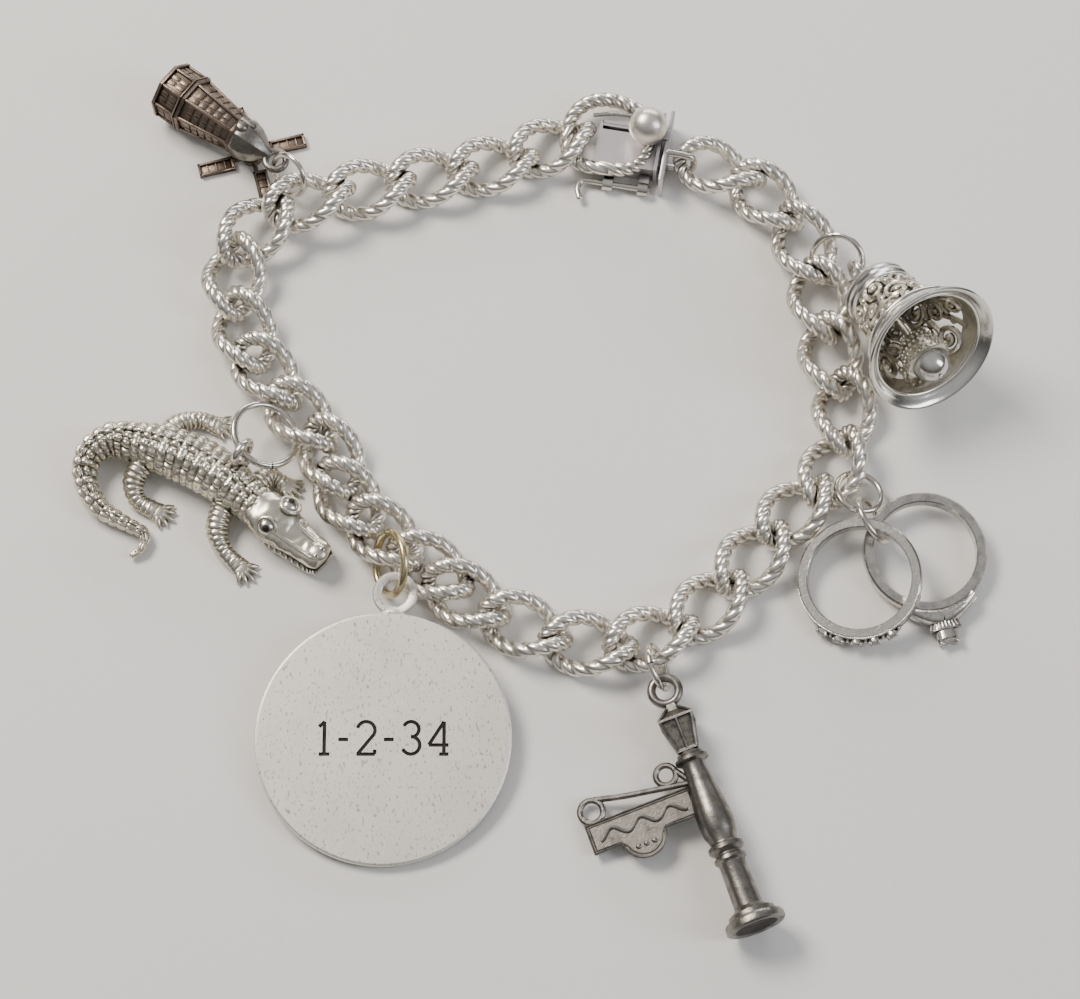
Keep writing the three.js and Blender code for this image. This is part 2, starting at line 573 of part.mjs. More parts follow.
const BELL = { x: 33.3, y: 20.5, z: 4.0, turn: -63, tip: 61 };
const BELL_OUTER = [
  [0.8, -2.4], [1.0, -1.6], [2.3, -1.1], [3.4, 0], [3.55, 1.0], [3.5, 2.2], [3.85, 4.8], [4.6, 7.2], [5.7, 9.4],
  [6.75, 11.2],
];
const BELL_WALL = 0.75;
const BELL_FLOOR = { edge: [1.6, 0.15], middle: [0, 0.05] };
const BELL_SEGMENTS = 24;
const CROSS_PIN = { radius: 0.35, halfLength: 3.0 };
const BELL_LOOP = { radius: 1.3, wire: 0.38, z: -3.8 };
const CLAPPER = { pivotZ: 1.3, length: 8.7, radius: 2.1, lean: 15, rod: 0.5, rodStart: 0.7 };
const CLAPPER_EYE = { outer: 1.0, hole: 0.5, width: 0.9 };

function bellGeometry() {
  const inner = BELL_OUTER.map(([radius, z]) => [Math.max(radius - BELL_WALL, 0), z + (z < 1 ? BELL_WALL : 0)]);
  const crown = [0, BELL_OUTER[0][1]];
  const profile = [crown, ...BELL_OUTER, ...inner.slice(3).reverse(), BELL_FLOOR.edge, BELL_FLOOR.middle];
  const { radius, halfLength } = CROSS_PIN;
  const crossPin = frustumX(-halfLength, halfLength, radius, radius, 8).translate(0, 0, CLAPPER.pivotZ);
  const crownLoop = loop(BELL_LOOP.radius, BELL_LOOP.wire, SMALL_LOOP_STEPS).rotateX(Math.PI / 2);
  return carve([
    turned(profile, BELL_SEGMENTS),
    crossPin.rotateZ(Math.PI / 2),
    crownLoop.translate(0, 0, BELL_LOOP.z),
  ]);
}

/** The clapper hangs from the cross pin by a drilled eye, and is built pointing along +Z from the pin. */
function clapperGeometry() {
  const { outer, hole, width } = CLAPPER_EYE;
  const eye = new THREE.CylinderGeometry(outer, outer, width, BORE_SIDES);
  const bore = new THREE.CylinderGeometry(hole, hole, width + 2 * CLEAR, BORE_SIDES);
  const stem = frustumX(CLAPPER.rodStart, CLAPPER.length, CLAPPER.rod, CLAPPER.rod, 8).rotateY(-Math.PI / 2);
  return carve([eye, stem, ball(CLAPPER.radius, 0, 0, CLAPPER.length)], [bore]);
}

function addBell() {
  const holder = group(BELL.x, BELL.y, BELL.z, BELL.turn, BELL.tip);
  addPiece(holder, 'bell', bellGeometry(), SILVER);
  const clapper = addPiece(holder, 'bell_clapper', clapperGeometry(), TARNISHED);
  clapper.position.z = CLAPPER.pivotZ;
  clapper.rotation.y = radians(CLAPPER.lean);
}

// ---------------------------------------------------------------- assembly

addChain();
addClasp();
addWindmill();
const alligator = group(0, 0, 0);
addPiece(alligator, 'alligator', alligatorGeometry(), SILVER);
layDown(alligator);
const disc = group(DISC.x, DISC.y, 0, 0, 0, DISC.tip);
addPiece(disc, 'disc', discGeometry(), SILVER);
layDown(disc);
const lampPost = group(LAMP.x, LAMP.y, 0, LAMP.turn, LAMP.pitch, LAMP.roll);
addPiece(lampPost, 'lamp_post', lampPostGeometry(), TARNISHED);
layDown(lampPost);
addWeddingSet();
addBell();
addJumpRings();

bracelet.updateMatrixWorld(true);
const footprint = new THREE.Box3().setFromObject(bracelet, true);
bracelet.position.set(-(footprint.min.x + footprint.max.x) / 2, -(footprint.min.y + footprint.max.y) / 2, 0);
bracelet.updateMatrixWorld(true);

export default bracelet;
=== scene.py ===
"""The looks of a silver charm bracelet that lies in a loop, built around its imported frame."""

import logging
import math
from collections.abc import Callable
from dataclasses import dataclass, field
from enum import Enum

import bmesh
import bpy
import numpy as np
from mathutils import Matrix, Vector, noise


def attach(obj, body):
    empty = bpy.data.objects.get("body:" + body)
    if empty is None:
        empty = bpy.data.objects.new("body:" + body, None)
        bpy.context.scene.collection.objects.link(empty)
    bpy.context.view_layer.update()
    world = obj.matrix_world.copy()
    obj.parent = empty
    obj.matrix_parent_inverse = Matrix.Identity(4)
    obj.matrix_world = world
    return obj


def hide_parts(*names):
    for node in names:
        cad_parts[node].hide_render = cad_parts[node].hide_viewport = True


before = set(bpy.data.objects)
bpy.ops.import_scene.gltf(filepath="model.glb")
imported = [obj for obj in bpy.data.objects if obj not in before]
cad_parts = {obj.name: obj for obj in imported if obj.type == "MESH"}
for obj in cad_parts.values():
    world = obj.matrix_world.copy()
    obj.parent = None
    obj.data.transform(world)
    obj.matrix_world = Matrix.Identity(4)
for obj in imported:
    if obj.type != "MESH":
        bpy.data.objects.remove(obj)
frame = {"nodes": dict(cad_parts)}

MM = 0.001
SHIFT = Vector((0.814, -1.165, 0.0))  # from the layout's own zero to the middle of the footprint, mm
log = logging.getLogger("bracelet")

Point = tuple[float, float, float]
Polyline = list[Point]
Profile = list[tuple[float, float]]
# How far a surface point stands out, from the distance along, the angle round and the row there.
Relief = Callable[[float, float, tuple[float, ...]], float]

ROPE_STRANDS = 3  # ridges round the bracelet's wire
ROPE_GROOVE = 0.26  # depth of the grooves between them, as a share of the wire's radius
ROPE_SIDES = 18  # points round the rope's section
CREST_SHARPNESS = 0.6  # power that flattens a strand's crest and narrows the groove beside it
WELD = 1e-4  # corners closer than this are joined, mm
SLIVER = 1e-5  # edges shorter than this are closed up, mm


class Body(Enum):
    """The rigid bodies that a piece can ride on."""

    BRACELET = "bracelet"
    SAILS = "sails"
    CLAPPER = "clapper"
    CATCH = "catch"


# ---------- node helper


def add_node(
    tree: bpy.types.NodeTree, kind: str, inputs: dict | None = None, **settings: object,
) -> bpy.types.Node:
    """Adds a node, sets its properties, and fills or links its inputs.

    Args:
        tree: the node tree that gets the node.
        kind: the node's Blender type name.
        inputs: input name or number to a value, or to the output socket that feeds it.
        settings: properties of the node.

    Returns:
        The new node.
    """
    node = tree.nodes.new(kind)
    for name, value in settings.items():
        setattr(node, name, value)
    for key, value in (inputs or {}).items():
        if isinstance(value, bpy.types.NodeSocket):
            tree.links.new(value, node.inputs[key])
        else:
            node.inputs[key].default_value = value
    return node


def linear(code: str) -> tuple[float, float, float, float]:
    """Turns an sRGB hex colour into the linear colour that shaders take.

    Args:
        code: six hex digits.

    Returns:
        Linear red, green, blue and alpha.
    """
    channels = [int(code[i : i + 2], 16) / 255 for i in (0, 2, 4)]
    lin = [c / 12.92 if c <= 0.04045 else ((c + 0.055) / 1.055) ** 2.4 for c in channels]
    return (*lin, 1.0)


# ---------- finishes


HOLLOW_RANGE = (0.3, 0.92)  # share of open sky at which a point is fully darkened by tarnish and painted shade, and fully bright
STAIN_RANGE = (0.42, 0.72)  # noise at which a stain begins, and is complete
SPECK_SIZE = 0.45  # mm
SPECK_EDGE = 0.12  # noise from a speck's edge to its middle
SPECK_DARKNESS = 0.6
BUMP_STRENGTH = 0.8


@dataclass(frozen=True)
class SilverFinish:
    """Silver as it was worked and worn: bright where it is rubbed, and dark in its hollows from tarnish and
    painted shade.

    Attributes:
        name: the material's name.
        bright: colour of the rubbed metal.
        dark: colour of the tarnish and painted shade in hollows, and of the stains.
        reach: how wide a hollow still gets its tarnish and painted shade, mm.
        tarnish: how much of the open surface is stained as well, 0 to 1.
        patch: size of the stains, mm.
        roughness: gloss of the rubbed metal.
        spread: how much rougher stained metal is.
        grain: size of the surface's fine unevenness, mm.
        relief: height of that unevenness, mm.
        specks: share of the surface covered by small dark specks, 0 to 1.
        stretch: how far the grain is drawn out along X, as brushing leaves it.
    """

    name: str
    bright: str
    dark: str
    reach: float = 0.6
    tarnish: float = 0.15
    patch: float = 3.0
    roughness: float = 0.22
    spread: float = 0.2
    grain: float = 0.25
    relief: float = 0.01
    specks: float = 0.0
    stretch: float = 1.0

    def material(self) -> bpy.types.Material:
        """Builds the material, or returns it when it is there already.

        Returns:
            A metal with tarnish and painted shade in its hollows and stains from noise in object space.
        """
        known = bpy.data.materials.get(self.name)
        if known:
            return known
        made = bpy.data.materials.new(self.name)
        made.use_nodes = True
        tree = made.node_tree
        shader = tree.nodes["Principled BSDF"]
        shader.inputs["Metallic"].default_value = 1.0
        place = add_node(tree, "ShaderNodeTexCoord").outputs["Object"]
        stretched = add_node(
            tree, "ShaderNodeMapping", {"Vector": place, "Scale": (1 / self.stretch, 1, 1)},
        )
        # Ambient occlusion finds the hollows, which are painted dark: partly tarnish, partly painted shade.
        hollow = add_node(
            tree, "ShaderNodeAmbientOcclusion", {"Distance": self.reach * MM}, samples=6, only_local=True,
        )
        hollow_tarnish_and_shade = add_node(
            tree, "ShaderNodeMapRange",
            {0: hollow.outputs["AO"], 1: HOLLOW_RANGE[0], 2: HOLLOW_RANGE[1], 3: 1.0, 4: 0.0},
        )
        stain = add_node(
            tree, "ShaderNodeTexNoise",
            {"Vector": place, "Scale": 1 / (self.patch * MM), "Detail": 5.0, "Roughness": 0.6},
        )
        stained = add_node(
            tree, "ShaderNodeMapRange",
            {0: stain.outputs[0], 1: STAIN_RANGE[0], 2: STAIN_RANGE[1], 3: 0.0, 4: self.tarnish},
        )
        shade_and_stains = add_node(
            tree, "ShaderNodeMath", {0: hollow_tarnish_and_shade.outputs[0], 1: stained.outputs[0]}, operation="MAXIMUM",
            use_clamp=True,
        ).outputs[0]
        if self.specks:
            dots = add_node(
                tree, "ShaderNodeTexNoise",
                {"Vector": stretched.outputs[0], "Scale": 1 / (SPECK_SIZE * MM), "Detail": 3.0},
            )
            low = 0.5 + 0.2 * (1 - self.specks)
            dark_dots = add_node(
                tree, "ShaderNodeMapRange",
                {0: dots.outputs[0], 1: low, 2: low + SPECK_EDGE, 3: 0.0, 4: SPECK_DARKNESS},
            )
            shade_and_stains = add_node(
                tree, "ShaderNodeMath", {0: shade_and_stains, 1: dark_dots.outputs[0]}, operation="ADD",
                use_clamp=True,
            ).outputs[0]
        colour = add_node(
            tree, "ShaderNodeMix", {0: shade_and_stains, 6: linear(self.bright), 7: linear(self.dark)},
            data_type="RGBA",
        )
        tree.links.new(colour.outputs[2], shader.inputs["Base Color"])
        gloss = add_node(
            tree, "ShaderNodeMapRange",
            {0: shade_and_stains, 3: self.roughness, 4: min(1.0, self.roughness + self.spread)},
        )
        tree.links.new(gloss.outputs[0], shader.inputs["Roughness"])
        fine = add_node(
            tree, "ShaderNodeTexNoise",
            {"Vector": stretched.outputs[0], "Scale": 1 / (self.grain * MM), "Detail": 4.0},
        )
        bump = add_node(
            tree, "ShaderNodeBump",
            {"Height": fine.outputs[0], "Distance": self.relief * MM, "Strength": BUMP_STRENGTH},
        )
        tree.links.new(bump.outputs[0], shader.inputs["Normal"])
        return made


@dataclass(frozen=True)
class ClearStoneFinish:
    """A clear cut stone: colourless glass with a diamond's sparkle from its facets.

    Attributes:
        name: the material's name.
        bright: colour of the clearest parts.
        cloudy: colour of the faintly greyer parts.
        roughness: gloss of the polished facets.
        ior: its index of refraction, that of lead crystal.
        transmission: how much light goes through it rather than off its body.
        cloud: size of the greyer parts, mm.
    """

    name: str = "clear_cut_glass"
    bright: str = "fbf8ee"
    cloudy: str = "dfe0dc"
    roughness: float = 0.02
    ior: float = 1.7
    transmission: float = 0.75
    cloud: float = 0.5

    def material(self) -> bpy.types.Material:
        """Builds the material, or returns it when it is there already.

        Returns:
            A bright, smooth glass that lets most of the light through.
        """
        known = bpy.data.materials.get(self.name)
        if known:
            return known
        made = bpy.data.materials.new(self.name)
        made.use_nodes = True
        tree = made.node_tree
        shader = tree.nodes["Principled BSDF"]
        shader.inputs["Roughness"].default_value = self.roughness
        shader.inputs["IOR"].default_value = self.ior
        shader.inputs["Transmission Weight"].default_value = self.transmission
        place = add_node(tree, "ShaderNodeTexCoord").outputs["Object"]
        cloud = add_node(tree, "ShaderNodeTexNoise", {"Vector": place, "Scale": 1 / (self.cloud * MM)})
        tint = add_node(
            tree, "ShaderNodeMix", {0: cloud.outputs[0], 6: linear(self.bright), 7: linear(self.cloudy)},
            data_type="RGBA",
        )
        tree.links.new(tint.outputs[2], shader.inputs["Base Color"])
        return made


# Drawn and twisted wire, tumbled: the ridges stay white and glossy, and painted shade greys the grooves
# between them.
ROPE_SILVER = SilverFinish(
    "twisted_silver_wire", "f0ebe0", "2f2921", reach=0.5, tarnish=0.14, roughness=0.25,
)
# Drawn round wire, rubbed smooth by wear, so it mirrors the light in one thin line.
WIRE_SILVER = SilverFinish(
    "drawn_silver_wire", "ddd8cf", "3a342d", reach=0.5, tarnish=0.3, roughness=0.2, spread=0.15,
)
# A ring that has yellowed, with a warm dull gloss.
GILT_WIRE = SilverFinish(
    "yellowed_silver_wire", "cfc29b", "6a5c3d", reach=0.5, tarnish=0.55, roughness=0.24,
)
# Rolled sheet with a satin scratch-brushed face: soft broad reflections and fine dark specks.
SATIN_SHEET = SilverFinish(
    "scratch_brushed_silver_sheet", "e4dfd8", "7a6a5a", reach=0.2, tarnish=0.16, patch=6.0, roughness=0.5,
    spread=0.1,
    grain=0.16, relief=0.008, specks=0.62, stretch=0.5,
)
# The floor of engraved strokes, where black tarnish stays; on the lamp's base it is painted shade in a
# hollow.
ENGRAVED = SilverFinish("tarnish_in_engraving", "4b4743", "24211e", tarnish=0.9, roughness=0.5)
# Cast silver with oxidised hollows: the relief is picked out in black and its tops are polished.
CAST_SILVER = SilverFinish(
    "oxidised_cast_silver", "e2dccb", "1f170d", reach=0.9, tarnish=0.4, patch=1.6, roughness=0.24,
    spread=0.3,
    grain=0.2, relief=0.02,
)
# Polished cast silver, as on the bell's rim and the ring bands.
POLISHED_SILVER = SilverFinish(
    "polished_cast_silver", "e2dfd8", "3d3832", reach=0.5, tarnish=0.16, patch=2.4, roughness=0.19,
    spread=0.2,
)
# A ball rubbed dull by the thumb: one soft broad highlight and no clear reflections.
RUBBED_SILVER = SilverFinish(
    "hand_rubbed_silver_ball", "e6e1d8", "6a6156", reach=0.8, tarnish=0.25, patch=1.4, roughness=0.36,
    spread=0.15,
)
# Worn ring shanks: grey silver with fine scuffs and darkened edges.
WORN_RING = SilverFinish(
    "scuffed_silver_ring", "d6d2cb", "2e2924", reach=0.6, tarnish=0.5, patch=0.9, roughness=0.2,
    spread=0.25,
    grain=0.3, relief=0.03,
)
# Old unpolished casting, browned nearly black, grey where it is rubbed.
BROWN_CAST = SilverFinish(
    "browned_cast_silver", "84766a", "17120e", reach=0.8, tarnish=0.7, patch=1.6, roughness=0.34,
    spread=0.3,
    grain=0.22, relief=0.03,
)
# Grey-black antiqued casting with a pewter-like sheen.
PEWTER_GREY = SilverFinish(
    "antiqued_grey_silver", "8d8983", "171513", reach=0.7, tarnish=0.7, patch=1.1, roughness=0.3,
    spread=0.25,
    grain=0.2, relief=0.025,
)
# Rolled sheet of the clasp's box: soft violet-grey satin, with painted shade, nearly black, where the box is
# closed in.
BOX_SHEET = SilverFinish(
    "satin_rolled_silver_box", "d3ced0", "241f1b", reach=1.3, tarnish=0.2, patch=3.0, roughness=0.36,
    spread=0.2,
    grain=0.2, relief=0.008,
)
# Grained panes cast into the lantern: dull dark metal that makes the bright frame stand out.
GRAINED_PANE = SilverFinish(
    "grained_dark_silver_pane", "77746d", "1a1917", reach=0.5, tarnish=0.85, patch=0.8, roughness=0.5,
    spread=0.2,
    grain=0.3, relief=0.07,
)
# Cut glass stones: they sparkle from their facets and let the silver behind them show.
CLEAR_STONE = ClearStoneFinish()


# ---------- mesh helpers


@dataclass(frozen=True)
class Placement:
    """Where a charm's own frame lies.

    Attributes:
        x: its zero along X, mm.
        y: the same along Y.
        z: its height.
        turn: its turn about Z, degrees.
        pitch: its turn about its own Y, before that.
        roll: its turn about its own X, first of all.
    """

    x: float
    y: float
    z: float
    turn: float = 0.0
    pitch: float = 0.0
    roll: float = 0.0

    def matrix(self) -> Matrix:
        """Puts the roll, pitch, turn and place together.

        Returns:
            The charm's frame as a matrix in mm.
        """
        turn, pitch, roll = (math.radians(v) for v in (self.turn, self.pitch, self.roll))
        turned = Matrix.Rotation(turn, 4, "Z") @ Matrix.Rotation(pitch, 4, "Y") @ Matrix.Rotation(
            roll, 4, "X",
        )
        return Matrix.Translation((self.x, self.y, self.z)) @ turned


ALONG_X = Matrix.Rotation(math.pi / 2, 4, "Y")
FLAT_RING_ACROSS_Y = Matrix.Rotation(math.pi / 2, 4, "X")


def circle(
    radius: float, steps: int, centre: Point = (0, 0, 0), start: float = 0.0, end: float = 360.0,
) -> Polyline:
    """Points on a circle or arc about +Z.

    Args:
        radius: the circle's radius, mm.
        steps: how many points.
        centre: the circle's centre.
        start: first angle, degrees.
        end: last angle, degrees; 360 away from start means a closed circle with no doubled point.

    Returns:
        The points in order.
    """
    whole = abs(end - start) >= 360
    span = steps if whole else steps - 1
    angles = [math.radians(start + (end - start) * i / span) for i in range(steps)]
    return [(centre[0] + radius * math.cos(a), centre[1] + radius * math.sin(a), centre[2]) for a in angles]


def smooth_rows(rows: list[tuple[float, ...]], steps: int) -> list[tuple[float, ...]]:
    """Draws a smooth curve through rows of numbers.

    Args:
        rows: the rows that the curve passes through.
        steps: how many rows come back.

    Returns:
        Evenly spread rows on a Catmull-Rom curve.
    """
    data = np.array(rows, float)
    padded = np.vstack([2 * data[0] - data[1], data, 2 * data[-1] - data[-2]])
    out = []
    for t in np.linspace(0, len(rows) - 1, steps):
        i = min(int(t), len(rows) - 2)
        u = t - i
        a, b, c, d = padded[i : i + 4]
        bend = (2 * a - 5 * b + 4 * c - d) * u**2 + (3 * b - a - 3 * c + d) * u**3
        out.append(tuple(0.5 * (2 * b + (c - a) * u + bend)))
    return out


def rope_tree() -> bpy.types.NodeTree:
    """Builds the Geometry Nodes tree that turns edge paths into round or rope-twisted wire.

    Returns:
        The tree, with named inputs for the wire's radius, strands, their depth, the twist and the sides.
    """
    name = "wire_along_path"
    if name in bpy.data.node_groups:
        return bpy.data.node_groups[name]
    tree = bpy.data.node_groups.new(name, "GeometryNodeTree")
    face = tree.interface
    face.new_socket("Paths", in_out="INPUT", socket_type="NodeSocketGeometry")
    for label in ("Wire Radius", "Strands", "Strand Depth", "Tilt Step"):
        face.new_socket(label, in_out="INPUT", socket_type="NodeSocketFloat")
    face.new_socket("Sides", in_out="INPUT", socket_type="NodeSocketInt")
    face.new_socket("Finish", in_out="INPUT", socket_type="NodeSocketMaterial")
    face.new_socket("Wire", in_out="OUTPUT", socket_type="NodeSocketGeometry")
    given = add_node(tree, "NodeGroupInput").outputs
    path = add_node(tree, "GeometryNodeMeshToCurve", {"Mesh": given["Paths"]})
    index = add_node(tree, "GeometryNodeSplineParameter").outputs["Index"]
    tilt = add_node(tree, "ShaderNodeMath", {0: index, 1: given["Tilt Step"]}, operation="MULTIPLY")
    twisted = add_node(
        tree, "GeometryNodeSetCurveTilt", {"Curve": path.outputs[0], "Tilt": tilt.outputs[0]},
    )
    section = add_node(
        tree, "GeometryNodeCurvePrimitiveCircle",
        {"Resolution": given["Sides"], "Radius": given["Wire Radius"]},
    )
    at = add_node(tree, "GeometryNodeInputPosition").outputs[0]
    xyz = add_node(tree, "ShaderNodeSeparateXYZ", {0: at})
    angle = add_node(tree, "ShaderNodeMath", {0: xyz.outputs[1], 1: xyz.outputs[0]}, operation="ARCTAN2")
    sink = angle.outputs[0]
    for operation, amount in (
        ("MULTIPLY", given["Strands"]), ("MULTIPLY", 0.5), ("COSINE", 0.0), ("ABSOLUTE", 0.0),
        ("POWER", CREST_SHARPNESS), ("SUBTRACT", 1.0), ("MULTIPLY", given["Strand Depth"]),
    ):
        sink = add_node(tree, "ShaderNodeMath", {0: sink, 1: amount}, operation=operation).outputs[0]
    inward = add_node(tree, "ShaderNodeVectorMath", {0: at, "Scale": sink}, operation="SCALE")
    lobed = add_node(
        tree, "GeometryNodeSetPosition", {"Geometry": section.outputs[0], "Offset": inward.outputs[0]},
    )
    swept = add_node(
        tree, "GeometryNodeCurveToMesh",
        {"Curve": twisted.outputs[0], "Profile Curve": lobed.outputs[0], "Fill Caps": True},
    )
    real = add_node(tree, "GeometryNodeRealizeInstances", {0: swept.outputs[0]})
    painted = add_node(
        tree, "GeometryNodeSetMaterial", {"Geometry": real.outputs[0], "Material": given["Finish"]},
    )
    add_node(tree, "NodeGroupOutput", {0: painted.outputs[0]})
    return tree


def run_tree(tree: bpy.types.NodeTree, mesh: bpy.types.Mesh, values: dict[str, object]) -> bpy.types.Mesh:
    """Runs a Geometry Nodes tree on a mesh and returns what it makes as a plain mesh.

    Args:
        tree: the tree to run.
        mesh: the mesh that the tree starts from; it is removed afterwards.
        values: the tree's inputs by name.

    Returns:
        The finished mesh, with no modifier left on it.
    """
    holder = bpy.data.objects.new("holder", mesh)
    bpy.context.collection.objects.link(holder)
    nodes = holder.modifiers.new("nodes", "NODES")
    nodes.node_group = tree
    for item in tree.interface.items_tree:
        if item.in_out == "INPUT" and item.name in values:
            nodes[item.identifier] = values[item.name]
    holder.update_tag()
    seen = holder.evaluated_get(bpy.context.evaluated_depsgraph_get())
    made = bpy.data.meshes.new_from_object(seen)
    bpy.data.objects.remove(holder)
    bpy.data.meshes.remove(mesh)
    return made


@dataclass
class Solid:
    """A mesh that grows shape by shape, in mm, in a charm's own frame.

    Attributes:
        points: its corners.
        faces: tuples of numbers into points.
        slots: each face's material number.
    """

    points: list[Point] = field(default_factory=list)
    faces: list[tuple[int, ...]] = field(default_factory=list)
    slots: list[int] = field(default_factory=list)

    def add(self, points: list, faces: list, slot: int = 0, matrix: Matrix | None = None) -> None:
        """Adds points and faces.

        Args:
            points: the shape's points.
            faces: tuples of numbers into points.
            slot: the number of the shape's material on the piece.
            matrix: where the shape goes, when it isn't already in place.
        """
        start = len(self.points)
        moved = [tuple(matrix @ Vector(p)) for p in points] if matrix else [tuple(p) for p in points]
        self.points.extend(moved)
        self.faces.extend(tuple(start + i for i in f) for f in faces)
        self.slots.extend([slot] * len(faces))

    def lathe(
        self, profile: Profile, steps: int = 48, slot: int = 0, matrix: Matrix | None = None,
        turn: float = 0,
    ) -> None:
        """Turns a closed profile of (radius, height) pairs about +Z.

        Args:
            profile: the pairs, from the axis round to the axis, or closing on themselves.
            steps: facets round.
            slot: material number.
            matrix: where the shape goes.
            turn: angle of the first facet's corner, degrees.
        """
        points, faces = [], []
        for i in range(steps):
            a = math.radians(turn) + 2 * math.pi * i / steps
            points += [(r * math.cos(a), r * math.sin(a), z) for r, z in profile]
        n = len(profile)
        closes = 0 if profile[0][0] < 1e-6 and profile[-1][0] < 1e-6 else 1
        for i in range(steps):
            j = (i + 1) % steps
            for k in range(n - 1 + closes):
                m = (k + 1) % n
                faces.append((i * n + k, j * n + k, j * n + m, i * n + m))
        self.add(points, faces, slot, matrix)

    def box(self, low: Point, high: Point, slot: int = 0, matrix: Matrix | None = None) -> None:
        """Adds a box between two corners.

        Args:
            low: the lowest corner.
            high: the highest corner.
            slot: material number.
            matrix: where the box goes.
        """
        points = [
            (x, y, z) for x in (low[0], high[0]) for y in (low[1], high[1]) for z in (low[2], high[2])
        ]
        faces = [(0, 1, 3, 2), (4, 6, 7, 5), (0, 4, 5, 1), (2, 3, 7, 6), (0, 2, 6, 4), (1, 5, 7, 3)]
        self.add(points, faces, slot, matrix)

    def ball(
        self, centre: Point, radii: Point, slot: int = 0, matrix: Matrix | None = None, steps: int = 20,
    ) -> None:
        """Adds an ellipsoid.

        Args:
            centre: its middle.
            radii: half its size along each axis.
            slot: material number.
            matrix: where it goes.
            steps: facets round.
        """
        rings = steps // 2
        profile = [
            (math.sin(math.pi * k / rings), -math.cos(math.pi * k / rings)) for k in range(rings + 1)
        ]
        profile[0], profile[-1] = (0.0, -1.0), (0.0, 1.0)
        shape = Matrix.Translation(centre) @ Matrix.Diagonal((*radii, 1.0))
        self.lathe(profile, steps, slot, matrix @ shape if matrix else shape)

    def wires(
        self, paths: list[Polyline], radius: float, sides: int = 10, closed: bool = False, slot: int = 0,
        matrix: Matrix | None = None, strands: int = 0, depth: float = 0.0, tilt: float = 0.0,
    ) -> None:
        """Adds wire along paths, round or twisted like rope, by Geometry Nodes.

        Args:
            paths: each path's points.
            radius: the wire's half thickness.
            sides: points round its section.
            closed: whether each path joins its own start.
            slot: material number.
            matrix: where the wire goes.
            strands: ridges round the section; none for plain wire.
            depth: depth of the grooves as a share of the radius.
            tilt: turn of the section from one point to the next, degrees.
        """
        mesh = bpy.data.meshes.new("paths")
        points, edges = [], []
        for path in paths:
            start, n = len(points), len(path)
            points += [tuple(p) for p in path]
            edges += [(start + i, start + (i + 1) % n) for i in range(n if closed else n - 1)]
        mesh.from_pydata(points, edges, [])
        values = {
            "Wire Radius": float(radius), "Strands": float(strands), "Strand Depth": float(depth),
            "Tilt Step": math.radians(tilt), "Sides": sides,
            "Finish": (ROPE_SILVER if strands else WIRE_SILVER).material(),
        }
        made = run_tree(rope_tree(), mesh, values)
        corners = [tuple(v.co) for v in made.vertices]
        self.add(corners, [tuple(p.vertices) for p in made.polygons], slot, matrix)
        bpy.data.meshes.remove(made)

    def loft(
        self, rows: list[tuple[float, ...]], sides: int = 16, slot: int = 0, up: Point = (0, 0, 1),
        relief: Relief | None = None, matrix: Matrix | None = None,
    ) -> None:
        """Sweeps an oval section along rows and rounds both ends off.

        Args:
            rows: x, y, z, half width and half height of each section.
            sides: points round the section.
            slot: material number.
            up: the way the section's height stands.
            relief: how far each point stands out; none for a smooth surface.
            matrix: where the shape goes.
        """
        centres = [Vector(r[:3]) for r in rows]
        points, faces, far = [], [], 0.0
        n = len(rows)
        for i, (centre, row) in enumerate(zip(centres, rows)):
            along = (centres[min(i + 1, n - 1)] - centres[max(i - 1, 0)]).normalized()
            across = Vector(up).cross(along).normalized()
            above = along.cross(across)
            far += (centre - centres[i - 1]).length if i else 0.0
            for k in range(sides):
                a = 2 * math.pi * k / sides
                out = relief(far, a, row) if relief else 0.0
                point = centre + across * (row[3] + out) * math.cos(a)
                points.append(point + above * (row[4] + out) * math.sin(a))
        for i in range(n - 1):
            for k in range(sides):
                m = (k + 1) % sides
                faces.append((i * sides + k, i * sides + m, (i + 1) * sides + m, (i + 1) * sides + k))
        for i, step in ((0, -1), (n - 1, 1)):
            tip = centres[i] + (centres[i] - centres[i - step]).normalized() * min(
                rows[i][3], rows[i][4],
            ) * 0.5
            points.append(tip)
            faces += [(i * sides + k, i * sides + (k + 1) % sides, len(points) - 1) for k in range(sides)]
        self.add(points, faces, slot, matrix)

    def plate(self, outline: Profile, low: float, high: float, slot: int = 0,
              matrix: Matrix | None = None) -> None:
        """Adds a flat plate between two heights.

        Args:
            outline: its corners, in order.
            low: height of its underside.
            high: height of its top.
            slot: material number.
            matrix: where it goes.
        """
        n = len(outline)
        points = [(x, y, low) for x, y in outline] + [(x, y, high) for x, y in outline]
        sides = [(i, (i + 1) % n, n + (i + 1) % n, n + i) for i in range(n)]
        self.add(points, [tuple(range(n))[::-1], tuple(range(n, 2 * n)), *sides], slot, matrix)


